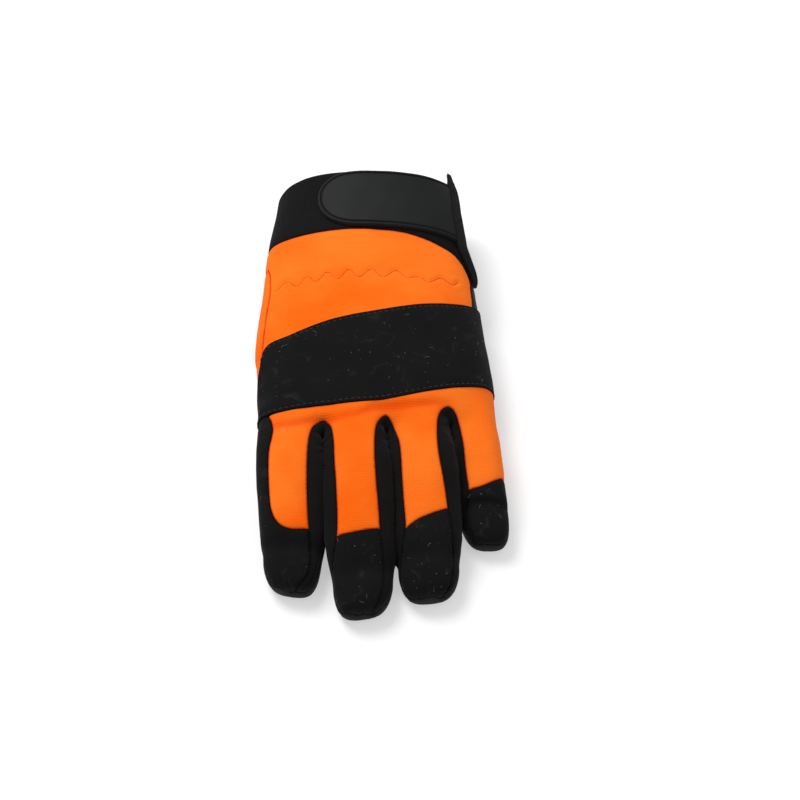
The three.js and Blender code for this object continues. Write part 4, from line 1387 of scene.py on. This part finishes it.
def binding_strip():
    line = through_rows(BINDING_LINE, 8)
    base = unrolled.points(line[:, 0], line[:, 1])
    normal = unrolled.look_up(unrolled.normal, line[:, 0], line[:, 1])
    ahead = np.gradient(base, axis=0)
    ahead /= np.linalg.norm(ahead, axis=1, keepdims=True)
    normal = normal - ahead * (normal * ahead).sum(1, keepdims=True)
    normal /= np.linalg.norm(normal, axis=1, keepdims=True)
    side = np.cross(ahead, normal)
    side *= np.sign(side[:, :1])
    turn = 2 * np.pi * np.arange(TAPE_SIDES) / TAPE_SIDES
    across = np.copysign(np.abs(np.cos(turn)) ** 0.5, np.cos(turn))[:, None]
    up = np.copysign(np.abs(np.sin(turn)) ** 0.55, np.sin(turn))[:, None]
    low = STEP_DOWN * (0.5 - 0.5 * np.tanh((across + 0.5) / 0.09))
    low = low + 0.5 * np.exp(-((across - 0.3) / 0.1) ** 2)
    low = np.where(up > 0, low, 0.0)
    rings = []
    for k, (_, _, width, thick) in enumerate(line):
        rise = 0.35 + thick / 2 * (1 + up) - low * min(1.0, thick / 4)
        rings.append(base[k] + side[k] * across * width / 2 + normal[k] * rise)
    piece = mesh_from("strap_edge_tape", [tube(rings)])
    turn_outwards(piece)
    return piece


place(binding_strip(), binding_tape(), "black_binding", "strap_binding")


def binding_stitches():
    line = through_rows(BINDING_LINE, 8)
    line = line[line[:, 1] > 96]
    ups = unrolled.look_up(unrolled.normal, line[:, 0], line[:, 1])
    return unrolled.points(line[:, 0] + line[:, 2] * 0.13, line[:, 1], 0.12 + line[:, 3] * 0.98), ups


grown("binding_stitches", drawn_lines("binding_stitches", binding_stitches()), stitches,
      {"Step": 0.0027, "Stitch length": 0.0018, "Thread width": 0.0006}, black_thread, "black_binding")

bpy.data.objects.remove(skin)

# The stage: a pale floor that glows a little, as in the photograph the shadow is faint, soft light from
# behind and above, and a long lens about a metre away that looks down at 55 degrees.
pale = bpy.data.materials.new("pale_floor")
pale.use_nodes = True
for key, value in {"Base Color": (0.55, 0.55, 0.55, 1), "Emission Color": (1, 1, 1, 1),
                   "Emission Strength": 0.45, "Roughness": 0.9}.items():
    feed(pale.node_tree, pale.node_tree.nodes["Principled BSDF"], key, value)
floor_mesh = bpy.data.meshes.new("floor")
floor_mesh.from_pydata([(-4, -4, 0), (4, -4, 0), (4, 4, 0), (-4, 4, 0)], [], [(0, 1, 2, 3)])
floor_mesh.materials.append(pale)
floor = linked("floor", floor_mesh)

world = bpy.data.worlds.new("studio")
world.use_nodes = True
feed(world.node_tree, world.node_tree.nodes["Background"], "Color", (1, 1, 1, 1))
feed(world.node_tree, world.node_tree.nodes["Background"], "Strength", 0.52)
bpy.context.scene.world = world
bpy.context.scene.view_settings.view_transform = "Standard"


def soft_light(name, spot, size, power):
    light = bpy.data.lights.new(name, "AREA")
    light.size = size
    light.energy = power
    lamp = linked(name, light)
    lamp.location = spot
    lamp.rotation_euler = (-Vector(spot)).to_track_quat("-Z", "Y").to_euler()


soft_light("key", (-0.45, 0.5, 1.05), 0.6, 13.0)
soft_light("fill", (0.6, -0.7, 0.9), 0.9, 1.5)

CAMERA_TARGET = (9.5, 23.0, 20.0)
CAMERA_DISTANCE = 969.0
CAMERA_TILT = math.radians(55)
sight = np.array([0, math.cos(CAMERA_TILT), -math.sin(CAMERA_TILT)])
camera_data = bpy.data.cameras.new("photo_camera")
camera_data.lens = 85
camera_data.sensor_width = 36
camera_data.clip_end = 20
camera = linked("photo_camera", camera_data)
camera.location = to_frame([np.array(CAMERA_TARGET) - sight * CAMERA_DISTANCE])[0]
camera.rotation_euler = (math.pi / 2 - CAMERA_TILT, 0, 0)
bpy.context.scene.camera = camera
